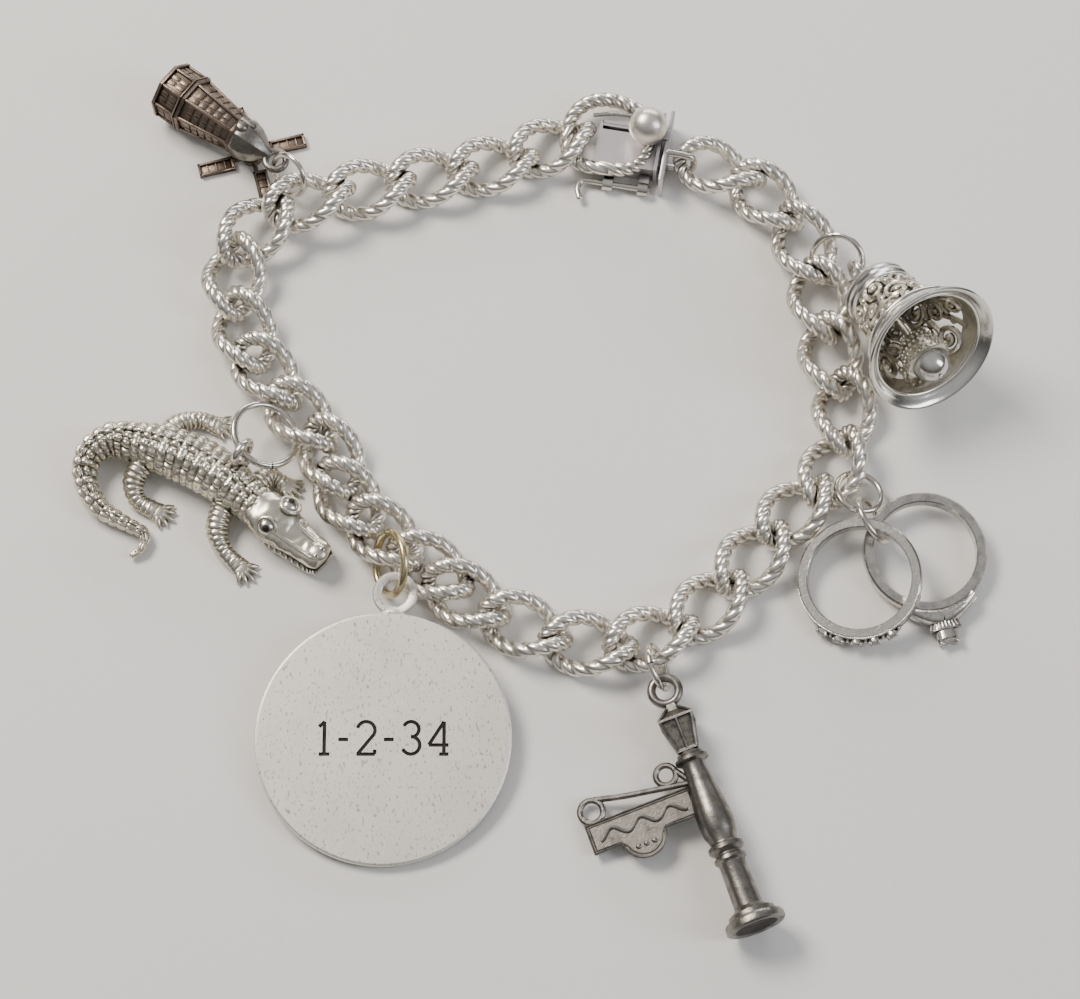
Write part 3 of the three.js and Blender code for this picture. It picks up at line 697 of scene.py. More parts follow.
def finish_piece(
    name: str, solid: Solid, finishes: list[SilverFinish | ClearStoneFinish], place: Matrix, body: Body,
    nodes: list[str],
    bevel: float = 0.0, crease: float = 38.0,
) -> bpy.types.Object:
    """Turns a solid into a finished piece that rides on its body and stands for its CAD nodes.

    Args:
        name: the piece's name.
        solid: its shape, in mm.
        finishes: its finishes, in the order of the solid's material numbers.
        place: the charm's frame, in mm.
        body: the body that it rides on.
        nodes: the CAD nodes that it stands for.
        bevel: width of the rounding on its sharp edges, mm; none for 0.
        crease: edges sharper than this stay sharp, degrees.

    Returns:
        The piece, at the origin with its place in its mesh.
    """
    mesh = bpy.data.meshes.new(name)
    mesh.from_pydata(solid.points, [], solid.faces)
    mesh.polygons.foreach_set("material_index", solid.slots)
    shape = bmesh.new()
    shape.from_mesh(mesh)
    bmesh.ops.remove_doubles(shape, verts=shape.verts, dist=WELD)
    bmesh.ops.dissolve_degenerate(shape, edges=shape.edges, dist=SLIVER)
    bmesh.ops.recalc_face_normals(shape, faces=shape.faces)
    bmesh.ops.transform(shape, matrix=Matrix.Scale(MM, 4) @ place, verts=shape.verts)
    shape.to_mesh(mesh)
    shape.free()
    for finish in finishes:
        mesh.materials.append(finish.material())
    piece = bpy.data.objects.new(name, mesh)
    bpy.context.collection.objects.link(piece)
    if bevel:
        rounding = piece.modifiers.new("worn_edges", "BEVEL")
        rounding.width, rounding.segments, rounding.limit_method = bevel * MM, 2, "ANGLE"
        rounding.angle_limit = math.radians(crease)
        rounding.use_clamp_overlap = True
        worn = bpy.data.meshes.new_from_object(piece.evaluated_get(bpy.context.evaluated_depsgraph_get()))
        piece.modifiers.clear()
        piece.data = worn
        worn.name = name
    piece.data.shade_smooth()
    piece.data.set_sharp_from_angle(angle=math.radians(crease))
    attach(piece, body.value)
    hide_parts(*nodes)
    log.info("%s: %d faces", name, len(piece.data.polygons))
    return piece


def node_corners(node: str) -> np.ndarray:
    """Reads the corners of a CAD node's solid.

    Args:
        node: the CAD node's name.

    Returns:
        One row of x, y and z for each corner, mm.
    """
    mesh = frame["nodes"][node].data
    corners = np.empty(len(mesh.vertices) * 3)
    mesh.vertices.foreach_get("co", corners)
    return corners.reshape(-1, 3) / MM


def node_frame(node: str) -> tuple[Vector, Matrix, np.ndarray]:
    """Works out how a CAD ring or link lies from its own corners.

    Args:
        node: the CAD node's name.

    Returns:
        Its centre in mm, its axes from longest to shortest as a rotation, and its half sizes in mm.
    """
    spots = np.unique(node_corners(node).round(3), axis=0)
    centre = spots.mean(axis=0)
    _, axes = np.linalg.eigh(np.cov((spots - centre).T))
    axes = axes[:, ::-1]
    if np.linalg.det(axes) < 0:
        axes[:, 2] *= -1
    local = (spots - centre) @ axes
    return Vector(centre), Matrix(axes.tolist()).to_4x4(), np.abs(local).max(axis=0)


# ---------- chain


@dataclass
class CurbChain:
    """The loop of twisted curb links, of rope-twisted wire.

    Attributes:
        half_length: from a link's centre to its wire's centre line at one end, mm.
        half_width: the same across it, mm.
        wire: the wire's half thickness, mm.
        twist: how far each end of a link is turned against its middle, degrees.
        strands: ridges round the wire.
        groove: depth of the grooves as a share of the wire's radius.
        turns: how often the ridges go round the wire in one link.
        steps: sections round a link.
        tried: points of a link that are measured against its CAD solid.
    """

    half_length: float = 4.2
    half_width: float = 2.55
    wire: float = 0.79
    twist: float = 55.0
    strands: int = ROPE_STRANDS
    groove: float = ROPE_GROOVE
    turns: int = 7
    steps: int = 154
    tried: int = 35

    def centre_line(self) -> Polyline:
        """Draws an oval whose ends are turned opposite ways.

        Returns:
            The wire's centre line in the link's own frame.
        """
        out = []
        for i in range(self.steps):
            t = 2 * math.pi * i / self.steps
            turn = -math.radians(self.twist) * math.cos(t)
            across = self.half_width * math.sin(t)
            out.append((self.half_length * math.cos(t), across * math.cos(turn), across * math.sin(turn)))
        return out

    def handed(self, axes: Matrix, centre: Vector, spots: np.ndarray) -> Polyline:
        """Turns the centre line to the way one link lies.

        Args:
            axes: the link's axes.
            centre: its centre, mm.
            spots: corners of the link's CAD solid, mm.

        Returns:
            The points, in the row frame.
        """
        best = None
        for middle in (1, 2):
            turned = axes.copy()
            if middle == 2:
                turned.col[1], turned.col[2] = axes.col[2].copy(), -axes.col[1]
            line = [centre + turned @ Vector(p) for p in self.centre_line()]
            few = np.array([tuple(p) for p in line[:: self.steps // self.tried]])
            miss = np.sqrt(((spots[:, None] - few[None]) ** 2).sum(-1)).min(axis=1).mean()
            if best is None or miss < best[0]:
                best = (miss, line)
        return [tuple(p) for p in best[1]]

    def build(self) -> None:
        """Makes the whole chain as one piece."""
        names = sorted(n for n in frame["nodes"] if n.startswith("link_"))
        lines = []
        for name in names:
            centre, axes, _ = node_frame(name)
            lines.append(self.handed(axes, centre, node_corners(name)))
        chain = Solid()
        tilt = 360.0 * self.turns / self.steps
        chain.wires(lines, self.wire, ROPE_SIDES, True, strands=self.strands, depth=self.groove, tilt=tilt)
        finish_piece(
            "rope_curb_chain", chain, [ROPE_SILVER], Matrix(), Body.BRACELET, names,
            crease=80,
        )


@dataclass
class JumpRings:
    """The cut and closed wire rings that the charms hang on.

    Attributes:
        cut: width of the butt joint, degrees of the ring.
        joint_at: where the joint lies on each ring, degrees.
        steps: sections round a ring.
    """

    cut: float = 2.4
    joint_at: float = 40.0
    steps: int = 64

    def build(self) -> None:
        """Makes each ring as a piece of its own, where its CAD ring lies."""
        for name in [n for n in frame["nodes"] if n.startswith("jump_ring") or n == "ring_connector"]:
            centre, axes, half = node_frame(name)
            wire = float(half[2])
            radius = float(half[0]) - wire
            arc = circle(radius, self.steps, start=self.joint_at, end=self.joint_at + 360 - self.cut)
            ring = Solid()
            ring.wires([arc], wire, 14)
            gilt = name == "jump_ring_disc"
            finish_piece(
                name.replace("jump_ring", "wire_ring"), ring, [GILT_WIRE if gilt else WIRE_SILVER],
                Matrix.Translation(centre) @ axes, Body.BRACELET, [name],
            )


# ---------- clasp


@dataclass
class Clasp:
    """The box clasp: rope bezel, satin box, end plate with its thumb ball, and the safety wire.

    Attributes:
        place: the clasp's frame, its X along the bracelet.
        half_length: the bezel's half length to its wire's centre line, mm.
        half_width: the same across it, mm.
        rope: half thickness of the bezel's rope, mm.
        height: height of the bezel's rope, mm.
        rise: how far the bezel's left end is twisted up at the back and down at the front, mm.
        turns: how often the rope's ridges go round it in one lap of the bezel.
        walls: low and high corners of the floor, lid, back lip and walls of the box, in that order.
        guard: the bent wire behind the box's window.
        guard_wire: its half thickness, mm.
        knuckles: where the safety wire's two knuckles start along the clasp, mm.
        knuckle: a knuckle's inner and outer radius and its length, mm.
        plates: low and high corners of the end plate, the tongue and the thumb ball's strap.
        ball: the thumb ball's centre along the clasp and its height, mm.
        ball_radius: its radius, mm.
        stalk: radius and height of the stalk between strap and ball, mm.
        staple: the staple for the first link, as distance along the clasp and height, mm.
        staple_y: how far forward the staple is, mm.
        staple_wire: its half thickness, mm.
        safety_y: how far forward the safety wire lies, mm.
        safety_z: its height, mm.
        safety: its half thickness, mm.
        safety_path: where it runs along the clasp, and how far it is bent off its axis, mm.
    """

    place: Placement = Placement(7.914, 38.335, 0.0, -10)
    half_length: float = 4.25
    half_width: float = 3.95
    rope: float = 0.78
    height: float = 1.9
    rise: float = 0.8
    turns: int = 8
    walls: tuple = (
        ((-1.1, -3.6, 0.0), (5.1, 1.5, 0.35)), ((-1.1, -3.6, 2.05), (5.1, 0.3, 2.4)),
        ((-1.1, 0.9, 1.7), (5.1, 1.5, 2.05)), ((-1.1, -3.6, 0.3), (-0.8, 1.5, 2.1)),
        ((-0.9, -3.6, 0.3), (5.1, -3.3, 2.1)), ((-0.9, 1.2, 0.3), (5.1, 1.5, 2.1)),
        ((5.1, -3.8, 0.3), (5.45, 2.9, 2.9)),
    )
    guard: tuple = ((-2.0, 1.9, 2.0), (0.5, 2.35, 2.1), (3.0, 2.2, 2.1), (4.9, 1.3, 2.0))
    guard_wire: float = 0.22
    knuckles: tuple[float, float] = (0.2, 3.8)
    knuckle: tuple[float, float, float] = (0.42, 0.68, 1.0)
    plates: tuple = (
        ((5.85, -5.2, 0.1), (6.3, 2.9, 3.7)), ((-0.2, -2.5, 1.15), (5.95, 0.6, 1.45)),
        ((4.6, -0.6, 3.35), (6.3, 0.6, 3.75)),
    )
    ball: tuple[float, float] = (3.9, 4.9)
    ball_radius: float = 1.95
    stalk: tuple = ((0, 3.2), (1.1, 3.2), (1.1, 3.5), (0.7, 3.9), (0, 3.9))
    staple: tuple = (
        (6.1, 0.45), (7.5, 0.45), (8.8, 0.8), (9.0, 1.95), (8.8, 3.1), (7.5, 3.45), (6.1, 3.45),
    )
    staple_y: float = -1.9
    staple_wire: float = 0.35
    safety_y: float = -5.1
    safety_z: float = 0.85
    safety: float = 0.3
    safety_path: tuple = ((5.0, 0), (1.5, 0), (-1.2, 0), (-2.0, -0.2), (-2.25, -1.1), (-1.9, -2.0))

    def bezel_line(self, steps: int = 190) -> Polyline:
        """Draws the bezel: round at the back and squarer in front.

        Args:
            steps: how many points.

        Returns:
            The centre line of its rope.
        """
        out = []
        for i in range(steps):
            t = 2 * math.pi * i / steps
            power = 0.7 if math.sin(t) < 0 else 1.0
            across, back = (math.copysign(abs(v) ** power, v) for v in (math.cos(t), math.sin(t)))
            z = self.height + self.rise * back * max(-across, 0)
            out.append((self.half_length * across, self.half_width * back, z))
        return out

    def build_box(self) -> None:
        """Makes the box with its bezel, end wall and the two knuckles of the safety wire."""
        box = Solid()
        line = self.bezel_line()
        tilt = 360 * self.turns / len(line)
        box.wires([line], self.rope, ROPE_SIDES, True, strands=ROPE_STRANDS, depth=ROPE_GROOVE, tilt=tilt)
        for low, high in self.walls:
            box.box(low, high, 1)
        box.wires([smooth_rows(self.guard, 20)], self.guard_wire, 10, slot=2)
        near, far, length = self.knuckle
        y, z = self.safety_y, self.safety_z
        for x in self.knuckles:
            collar = Matrix.Translation((x, y, z)) @ ALONG_X
            box.lathe([(near, 0), (far, 0), (far, length), (near, length)], 24, 2, collar)
            box.box((x, y + 0.6, z - 0.25), (x + 1, -3.3, z + 0.3), 1)
        finish_piece(
            "clasp_box_and_bezel", box, [ROPE_SILVER, BOX_SHEET, WIRE_SILVER], self.place.matrix(),
            Body.BRACELET, ["clasp_box"], crease=60,
        )

    def build_tongue(self) -> None:
        """Makes the end plate, the tongue, the thumb ball on its strap and the first link's staple."""
        tongue = Solid()
        for low, high in self.plates:
            tongue.box(low, high)
        x, height = self.ball
        tongue.ball((x, 0, height), (self.ball_radius,) * 3, 1, steps=40)
        tongue.lathe(self.stalk, 32, 1, Matrix.Translation((x, 0, 0)))
        staple = [(along, self.staple_y, z) for along, z in smooth_rows(self.staple, 40)]
        tongue.wires([staple], self.staple_wire, 12, slot=2)
        finish_piece(
            "clasp_tongue_and_thumb_ball", tongue, [BOX_SHEET, RUBBED_SILVER, WIRE_SILVER],
            self.place.matrix(), Body.BRACELET, ["clasp_tongue"], bevel=0.06,
        )

    def build_catch(self) -> None:
        """Makes the safety wire, straight through its knuckles, with its arm and hooked end."""
        path = [(x, self.safety_y + bend, self.safety_z) for x, bend in self.safety_path]
        catch = Solid()
        catch.wires([smooth_rows(path, 60)], self.safety, 12)
        catch.ball(path[-1], (0.36, 0.36, 0.3), steps=16)
        finish_piece(
            "safety_wire", catch, [WIRE_SILVER], self.place.matrix(), Body.CATCH, ["safety_catch"],
        )

    def build(self) -> None:
        """Makes the clasp's three pieces."""
        self.build_box()
        self.build_tongue()
        self.build_catch()


# ---------- windmill


@dataclass
class Windmill:
    """The windmill charm: an eight-sided brick tower with its gallery and cap, and four framed sails.

    Attributes:
        place: the tower's frame, its X from the base to the cap.
        sails_place: the sails' frame, on their pin.
        sides: faces of the tower.
        tower: distance from the base and radius at the tower's foot and head, mm.
        hoops: start, end and both radii of the base, the room under the gallery and the rails, mm.
        rib: half thickness of the ribs on the edges, mm.
        room: radius of the room under the gallery, mm.
        panes: low corners of the room's window panes on one face, and a pane's size, mm.
        course: height of a brick course, mm.
        mortar: width of the bare strip beside the ribs, mm.
        cap: distance from the base and radius of the cap, mm.
        knob: radius and height of the knob on the cap's side, mm.
        loop: the soldered loop's distance from the base, radius and half thickness, mm.
        pin: the sails' pin: distance from the base, radius and top, mm.
        hub: radius and height of the sails' hub, mm.
        sail_near: where a sail's frame starts, from the hub, mm.
        sail_far: where it ends, mm.
        sail_low: its trailing edge, mm.
        sail_high: its leading edge, mm.
        frame_wide: width of the frame's bars, mm.
    """

    place: Placement = Placement(-37.086, 43.035, 3.1, -37)
    sails_place: Placement = Placement(-28.701, 36.716, 0.0, 15)
    sides: int = 8
    tower: tuple[float, float, float, float] = (3.3, 2.75, 8.9, 1.85)
    hoops: tuple = (
        (0.0, 0.4, 3.1, 3.2), (0.3, 2.7, 2.85, 2.85), (2.55, 2.85, 3.05, 3.2), (3.0, 3.3, 3.2, 3.0),
        (2.7, 3.1, 2.95, 2.95),
    )
    rib: float = 0.2
    room: float = 2.85
    panes: tuple = ((0.55, 1.6), (-0.62, 0.08), (0.85, 0.54))
    course: float = 0.86
    mortar: float = 0.4
    cap: tuple = (
        (0, 8.9), (1.75, 8.9), (2.15, 9.4), (2.2, 9.9), (1.95, 10.9), (1.45, 11.8), (0.85, 12.5),
        (0.6, 13.1),
        (0, 13.1),
    )
    knob: tuple = ((0, 0), (0.62, 0), (0.66, 0.3), (0.4, 0.55), (0, 0.6))
    loop: tuple[float, float, float] = (13.9, 1.05, 0.36)
    pin: tuple[float, float, float] = (10.5, 0.42, -0.6)
    hub: tuple = ((0.6, 0.1), (1.1, 0.1), (1.1, 0.55), (0.95, 0.6), (0.6, 0.6))
    sail_near: float = 2.0
    sail_far: float = 5.65
    sail_low: float = -0.35
    sail_high: float = 1.05
    frame_wide: float = 0.24

    def ring(self, solid: Solid, x0: float, x1: float, r0: float, r1: float, slot: int = 0) -> None:
        """Adds an eight-sided frustum about X with a flat face up.

        Args:
            solid: the mesh that gets it.
            x0: its start.
            x1: its end.
            r0: its radius at the start.
            r1: its radius at the end.
            slot: material number.
        """
        solid.lathe([(0, x0), (r0, x0), (r1, x1), (0, x1)], self.sides, slot, ALONG_X, 180 / self.sides)

    def bricks(self, solid: Solid) -> None:
        """Lays raised bricks in staggered courses on each face of the tower.

        Args:
            solid: the mesh that gets them.
        """
        x0, r0, x1, r1 = self.tower
        lean = math.atan2(r0 - r1, x1 - x0)
        rows = int((x1 - x0 - 0.7) / self.course)
        for side in range(self.sides):
            turn = Matrix.Rotation(2 * math.pi * side / self.sides, 4, "X")
            for row in range(rows):
                x = x0 + 0.5 + self.course * (row + 0.5)
                radius = r0 + (r1 - r0) * (x - x0) / (x1 - x0)
                apothem = radius * math.cos(math.pi / self.sides)
                width = 2 * radius * math.sin(math.pi / self.sides) - self.mortar
                halves = ((-0.5, 0.02), (0.1, 0.5)) if row % 2 else ((-0.5, -0.14), (-0.06, 0.5))
                tilt = Matrix.Translation((x, 0, apothem)) @ Matrix.Rotation(lean, 4, "Y")
                for low, high in halves:
                    size = self.course * 0.36
                    solid.box((-size, low * width, -0.1), (size, high * width, 0.1), 0, turn @ tilt)

    def build_body(self) -> None:
        """Makes the tower, its gallery, ribs, window, cap and loop."""
        body = Solid()
        for hoop in self.hoops:
            self.ring(body, *hoop)
        x0, r0, x1, r1 = self.tower
        self.ring(body, x0 - 0.1, x1, r0, r1)
        self.ring(body, x1 - 0.1, x1 + 0.35, 2.1, 2.05)
        ribs, posts = [], []
        for side in range(self.sides):
            a = 2 * math.pi * (side + 0.5) / self.sides
            ribs.append([(x, r * math.sin(a), r * math.cos(a)) for x, r in ((x0, r0), (x1, r1))])
            posts.append([(x, 2.87 * math.sin(a), 2.87 * math.cos(a)) for x in (0.4, 2.6)])
        body.wires(ribs + posts, self.rib, 8)
        along, across, (pane_long, pane_wide) = self.panes
        for side in range(self.sides):
            turn = Matrix.Rotation(2 * math.pi * side / self.sides, 4, "X")
            flat = self.room * math.cos(math.pi / self.sides)
            for y in across:
                for x in along:
                    body.box((x, y, flat - 0.1), (x + pane_long, y + pane_wide, flat + 0.09), 0, turn)
        self.bricks(body)
        body.lathe(self.cap, self.sides, 1, ALONG_X, 180 / self.sides)
        body.lathe(self.knob, 20, 1, Matrix.Translation((9.5, 0.2, 1.75)))
        body.box((8.9, 0.8, 1.5), (10.6, 1.25, 2.05), 1)
        loop_at, loop_radius, loop_wire = self.loop
        body.wires([circle(loop_radius, 40, (loop_at, 0, 0))], loop_wire, 12, True, 1)
        pin_at, pin, top = self.pin
        foot = 0.1 - self.place.z
        body.lathe(
            [(0, foot), (pin, foot), (pin, top), (0, top)], 20, 1, Matrix.Translation((pin_at, 0, 0)),
        )
        finish_piece(
            "windmill_tower", body, [BROWN_CAST, PEWTER_GREY], self.place.matrix(), Body.BRACELET,
            ["windmill_body"], bevel=0.05, crease=30,
        )

    def build_sails(self) -> None:
        """Makes the hub and four sails, each a spar with a framed lattice."""
        sails = Solid()
        sails.lathe(self.hub, 32)
        near, far, bar = self.sail_near, self.sail_far, self.frame_wide
        low, high = self.sail_low, self.sail_high
        for arm in range(4):
            turn = Matrix.Rotation(arm * math.pi / 2, 4, "Z")
            sails.box((0.8, -0.22, 0.15), (near + 0.2, 0.22, 0.55), 0, turn)
            sails.box((near, low, 0.1), (far, low + bar, 0.6), 0, turn)
            sails.box((near, high - bar, 0.1), (far, high, 0.6), 0, turn)
            sails.box((near, low, 0.1), (near + bar, high, 0.6), 0, turn)
            sails.box((far - bar, low, 0.1), (far, high, 0.6), 0, turn)
            sails.box((near + 0.1, low + 0.1, 0.25), (far - 0.1, high - 0.1, 0.38), 0, turn)
            for share in (0.25, 0.5, 0.75):
                x = near + (far - near) * share
                sails.box((x - 0.07, low + 0.1, 0.2), (x + 0.07, high - 0.1, 0.5), 0, turn)
        finish_piece(
            "windmill_sails_framed", sails, [BROWN_CAST], self.sails_place.matrix(), Body.SAILS,
            ["windmill_sails"], bevel=0.04,
        )

    def build(self) -> None:
        """Makes the tower and the sails."""
        self.build_body()
        self.build_sails()


# ---------- alligator


@dataclass
class Alligator:
    """The alligator charm: a scaled, curled body on four clawed legs, with its jaws open.

    Attributes:
        place: the charm's frame.
        spine: x, y, z, half width and half height from the tail's tip to the neck, mm.
        head: the same rows for the upper head, from the neck to the snout.
        jaw: the same rows for the lower jaw.
        legs: each leg's joints and foot, from the flank out.
        eyes: the two eyes, near and far.
        leg_sizes: half width of a leg at each of its joints, mm.
        band: distance between the rings of scales, mm.
        scale: height of a scale, mm.
        leg_band: distance between the rings of scales on a leg, mm.
        leg_scale: height of a scale there, mm.
        toe: length of the middle toe, mm.
        toe_spread: angle between toes, degrees.
        teeth: how many teeth each side of the jaw has.
        tooth: radius and height of a tooth, mm.
        eye: radius of an eyeball, mm.
        loop: the soldered back loop's place.
        loop_size: its radius and half thickness, mm.
    """

    place: Placement = Placement(0.814, -1.165, -0.104)
    spine: list = field(default_factory=lambda: [
        (-39.6, -6.2, 0.7, 0.25, 0.3), (-38.5, -5.4, 0.8, 0.4, 0.45), (-38.4, -3.9, 0.9, 0.55, 0.6),
        (-40.4, -2.8, 1.1, 0.7, 0.8), (-42.9, -1.2, 1.3, 0.95, 1.05), (-44.3, 1.4, 1.6, 1.1, 1.25),
        (-44.0, 3.9, 1.9, 1.3, 1.5), (-42.0, 5.4, 2.2, 1.55, 1.7), (-39.2, 5.0, 2.4, 2.0, 1.9),
        (-36.4, 4.1, 2.6, 2.4, 2.0), (-33.4, 2.9, 2.6, 2.55, 2.05), (-30.6, 1.1, 2.6, 2.4, 2.0),
        (-28.6, -0.6, 2.5, 2.05, 1.75), (-27.2, -1.9, 2.5, 1.95, 1.6),
    ])
    head: list = field(default_factory=lambda: [
        (-27.8, -1.4, 2.6, 1.75, 1.35), (-26.6, -2.4, 2.8, 2.3, 1.35), (-25.2, -3.6, 2.8, 2.3, 1.2),
        (-24.0, -4.6, 2.6, 1.95, 0.9), (-22.6, -5.7, 2.5, 1.65, 0.75), (-21.4, -6.6, 2.5, 1.6, 0.8),
        (-20.8, -7.0, 2.5, 1.35, 0.7),
    ])
    jaw: list = field(default_factory=lambda: [
        (-27.0, -2.0, 1.6, 1.9, 0.8), (-25.2, -3.6, 1.1, 2.15, 0.55), (-23.4, -5.1, 0.95, 1.9, 0.45),
        (-21.6, -6.5, 0.95, 1.75, 0.42), (-20.8, -7.1, 1.0, 1.4, 0.35),
    ])
    legs: list = field(default_factory=lambda: [
        [(-38.6, 3.4, 1.9), (-39.6, 1.4, 1.5), (-39.2, -0.4, 0.9), (-37.4, -1.4, 0.6)],
        [(-36.9, 5.4, 1.9), (-35.6, 7.4, 1.4), (-33.6, 8.1, 0.9), (-32.0, 7.7, 0.6)],
        [(-30.6, -1.2, 1.9), (-31.3, -3.6, 1.5), (-30.6, -5.6, 0.9), (-29.0, -7.2, 0.6)],
        [(-27.8, 0.4, 1.8), (-26.6, 1.9, 1.4), (-25.8, 1.8, 0.9), (-25.0, 1.3, 0.6)],
    ])
    eyes: list = field(default_factory=lambda: [(-26.35, -4.35, 3.7), (-24.0, -2.0, 3.7)])
    leg_sizes: tuple[float, ...] = (1.15, 1.05, 0.85, 0.9)
    band: float = 0.95
    scale: float = 0.34
    leg_band: float = 0.55
    leg_scale: float = 0.2
    toe: float = 1.75
    toe_spread: float = 24.0
    teeth: int = 11
    tooth: tuple = ((0, -0.2), (0.15, -0.2), (0.13, 0.1), (0, 0.62))
    eye: float = 0.9
    loop: Placement = Placement(-28.8, 3.0, 4.7, 55)
    loop_size: tuple[float, float] = (1.2, 0.42)

    def scales(self, far: float, around: float, row: tuple[float, ...]) -> float:
        """How far the skin stands out at one point: rings of square scales, keeled along the back.

        Args:
            far: distance along the body, mm.
            around: angle round the section, with the back at 90 degrees.
            row: the section there.

        Returns:
            The height in mm.
        """
        ring = abs(math.sin(math.pi * far / self.band)) ** 0.4
        count = max(8, round(2 * math.pi * row[3] / self.band / 2) * 2)
        shift = 0.5 * (math.floor(far / self.band) % 2)
        cell = abs(math.sin(count * around / 2 + math.pi * shift)) ** 0.4
        back = max(0.0, math.sin(around))
        keel = 0.5 * self.scale * back * abs(math.sin(2.5 * around)) ** 2
        size = min(1.0, row[3] / 1.2)
        return size * (self.scale * (ring * cell - 0.6) + keel * ring)

    def leg_scales(self, far: float, around: float, row: tuple[float, ...]) -> float:
        """How far a leg's skin stands out: close rings of low scales, with the same arguments as scales.

        Args:
            far: distance along the leg, mm.
            around: angle round the section.
            row: the section there.

        Returns:
            The height in mm.
        """
        ring = abs(math.sin(math.pi * far / self.leg_band)) ** 0.5
        cell = abs(math.sin(5 * around + math.pi * (math.floor(far / self.leg_band) % 2) / 2)) ** 0.5
        return self.leg_scale * min(1.0, row[4]) * (ring * (0.6 + 0.4 * cell) - 0.6)

    def wrinkles(self, far: float, around: float, _: tuple[float, ...]) -> float:
        """How far the bare skin of the head stands out, in soft bumps.

        Args:
            far: distance along the head, mm.
            around: angle round the section.

        Returns:
            The height in mm.
        """
        return 0.1 * noise.noise(Vector((far * 1.6, 1.8 * math.cos(around), 1.8 * math.sin(around))))

    def foot(self, solid: Solid, leg: list[Point]) -> None:
        """Adds a foot with five clawed toes at a leg's end.

        Args:
            solid: the mesh that gets it.
            leg: the leg's joints.
        """
        end, before = Vector(leg[-1]), Vector(leg[-2])
        ahead = Vector((end.x - before.x, end.y - before.y, 0)).normalized()
        solid.ball(tuple(end + ahead * 0.25), (1.0, 1.0, 0.42), 0, steps=20)
        for toe in range(5):
            way = Matrix.Rotation(math.radians(self.toe_spread * (toe - 2)), 3, "Z") @ ahead
            reach = self.toe - 0.14 * abs(toe - 2)
            rows = [
                (*(end + way * 0.1), 0.36, 0.3),
                (*(end + way * reach * 0.6 + Vector((0, 0, 0.05))), 0.33, 0.3),
                (*(end + way * reach * 0.9 - Vector((0, 0, 0.05))), 0.28, 0.25),
                (*(end + way * (reach + 0.4) - Vector((0, 0, 0.22))), 0.08, 0.08),
            ]
            solid.loft(smooth_rows(rows, 9), 8)

    def build_body(self, solid: Solid) -> None:
        """Adds the scaled trunk, tail and legs.

        Args:
            solid: the mesh that gets them.
        """
        solid.loft(smooth_rows(self.spine, 400), 72, relief=self.scales)
        crest = smooth_rows(self.spine, 60)
        for i, (x, y, z, width, height) in enumerate(crest[2:-2]):
            after, before = Vector(crest[i + 3][:3]), Vector(crest[i + 1][:3])
            along = (after - before).normalized()
            across = Vector((0, 0, 1)).cross(along).normalized()
            for side in (-0.3, 0.3):
                spot = Vector((x, y, z)) + across * width * side + Vector((0, 0, height * 0.95))
                size = 0.3 * min(1.0, width / 1.4) + 0.06
                heading = math.atan2(along.y, along.x)
                stand = Matrix.Translation(spot) @ Matrix.Rotation(heading, 4, "Z")
                solid.ball((0, 0, 0), (size, size * 0.55, size * 0.8), matrix=stand, steps=10)
        for leg in self.legs:
            rows = [(*p, size, size) for p, size in zip(leg, self.leg_sizes)]
            rows[-1] = (*rows[-1][:4], self.leg_sizes[-1] * 0.55)
            solid.loft(smooth_rows(rows, 70), 28, relief=self.leg_scales)
            self.foot(solid, leg)

    def build_head(self, solid: Solid) -> None:
        """Adds the head, jaws, teeth, eyes and nostrils.

        Args:
            solid: the mesh that gets them.
        """
        solid.loft(smooth_rows(self.head, 70), 36, relief=self.wrinkles)
        solid.loft(smooth_rows(self.jaw, 50), 28, relief=self.wrinkles)
        mouth = [(x, y, z + 0.62, w * 0.8, 0.35) for x, y, z, w, _ in self.jaw]
        solid.loft(smooth_rows(mouth, 20), 16, 1)
        ahead = (Vector(self.head[-1][:3]) - Vector(self.head[1][:3])).normalized()
        across = Vector((0, 0, 1)).cross(ahead).normalized()
        for side in (-1, 1):
            for x, y, z, width, _ in smooth_rows(self.jaw, 15)[3 : 3 + self.teeth]:
                root = Vector((x, y, z)) + across * side * width * 0.92
                tooth = Matrix.Translation(root + Vector((0, 0, 0.3)))
                solid.lathe(self.tooth, 7, 2, tooth)
        for eye in self.eyes:
            side = across if Vector(eye).dot(across) > Vector(self.head[1][:3]).dot(across) else -across
            look = (side * 0.5 + ahead * 0.15 + Vector((0, 0, 0.85))).normalized()
            facing = look.to_track_quat("Z", "Y").to_matrix().to_4x4()
            socket = Matrix.Translation(Vector(eye) - look * 0.25) @ facing
            solid.ball((0, 0, 0), (self.eye, self.eye, self.eye * 0.8), 2, socket, 24)
            solid.wires([circle(0.95, 28, (0, 0, 0.14))], 0.24, 10, True, 0, socket)
            solid.ball((0.1, 0, 0.55), (0.4, 0.4, 0.24), 1, socket, 16)
            brow = Vector(eye) - look * 0.55 - side * 0.4
            solid.ball(tuple(brow - ahead * 0.5), (1.0, 1.0, 0.6), 0, steps=18)
        snout = Vector(self.head[-2][:3]) + Vector((0, 0, 0.55))
        solid.ball(tuple(snout - Vector((0, 0, 0.15))), (1.05, 1.05, 0.55), 0, steps=24)
        for side in (-1, 1):
            ridge = []
            for x, y, z, width, height in smooth_rows(self.head[2:6], 12):
                spot = Vector((x, y, z + height * 0.72)) + across * side * width * 0.5
                ridge.append((*spot, 0.3, 0.22))
            solid.loft(ridge, 10)
        for side in (-1, 1):
            nostril = snout + across * side * 0.45 + ahead * 0.25 + Vector((0, 0, 0.15))
            solid.ball(tuple(nostril), (0.36, 0.36, 0.3), 0, steps=16)
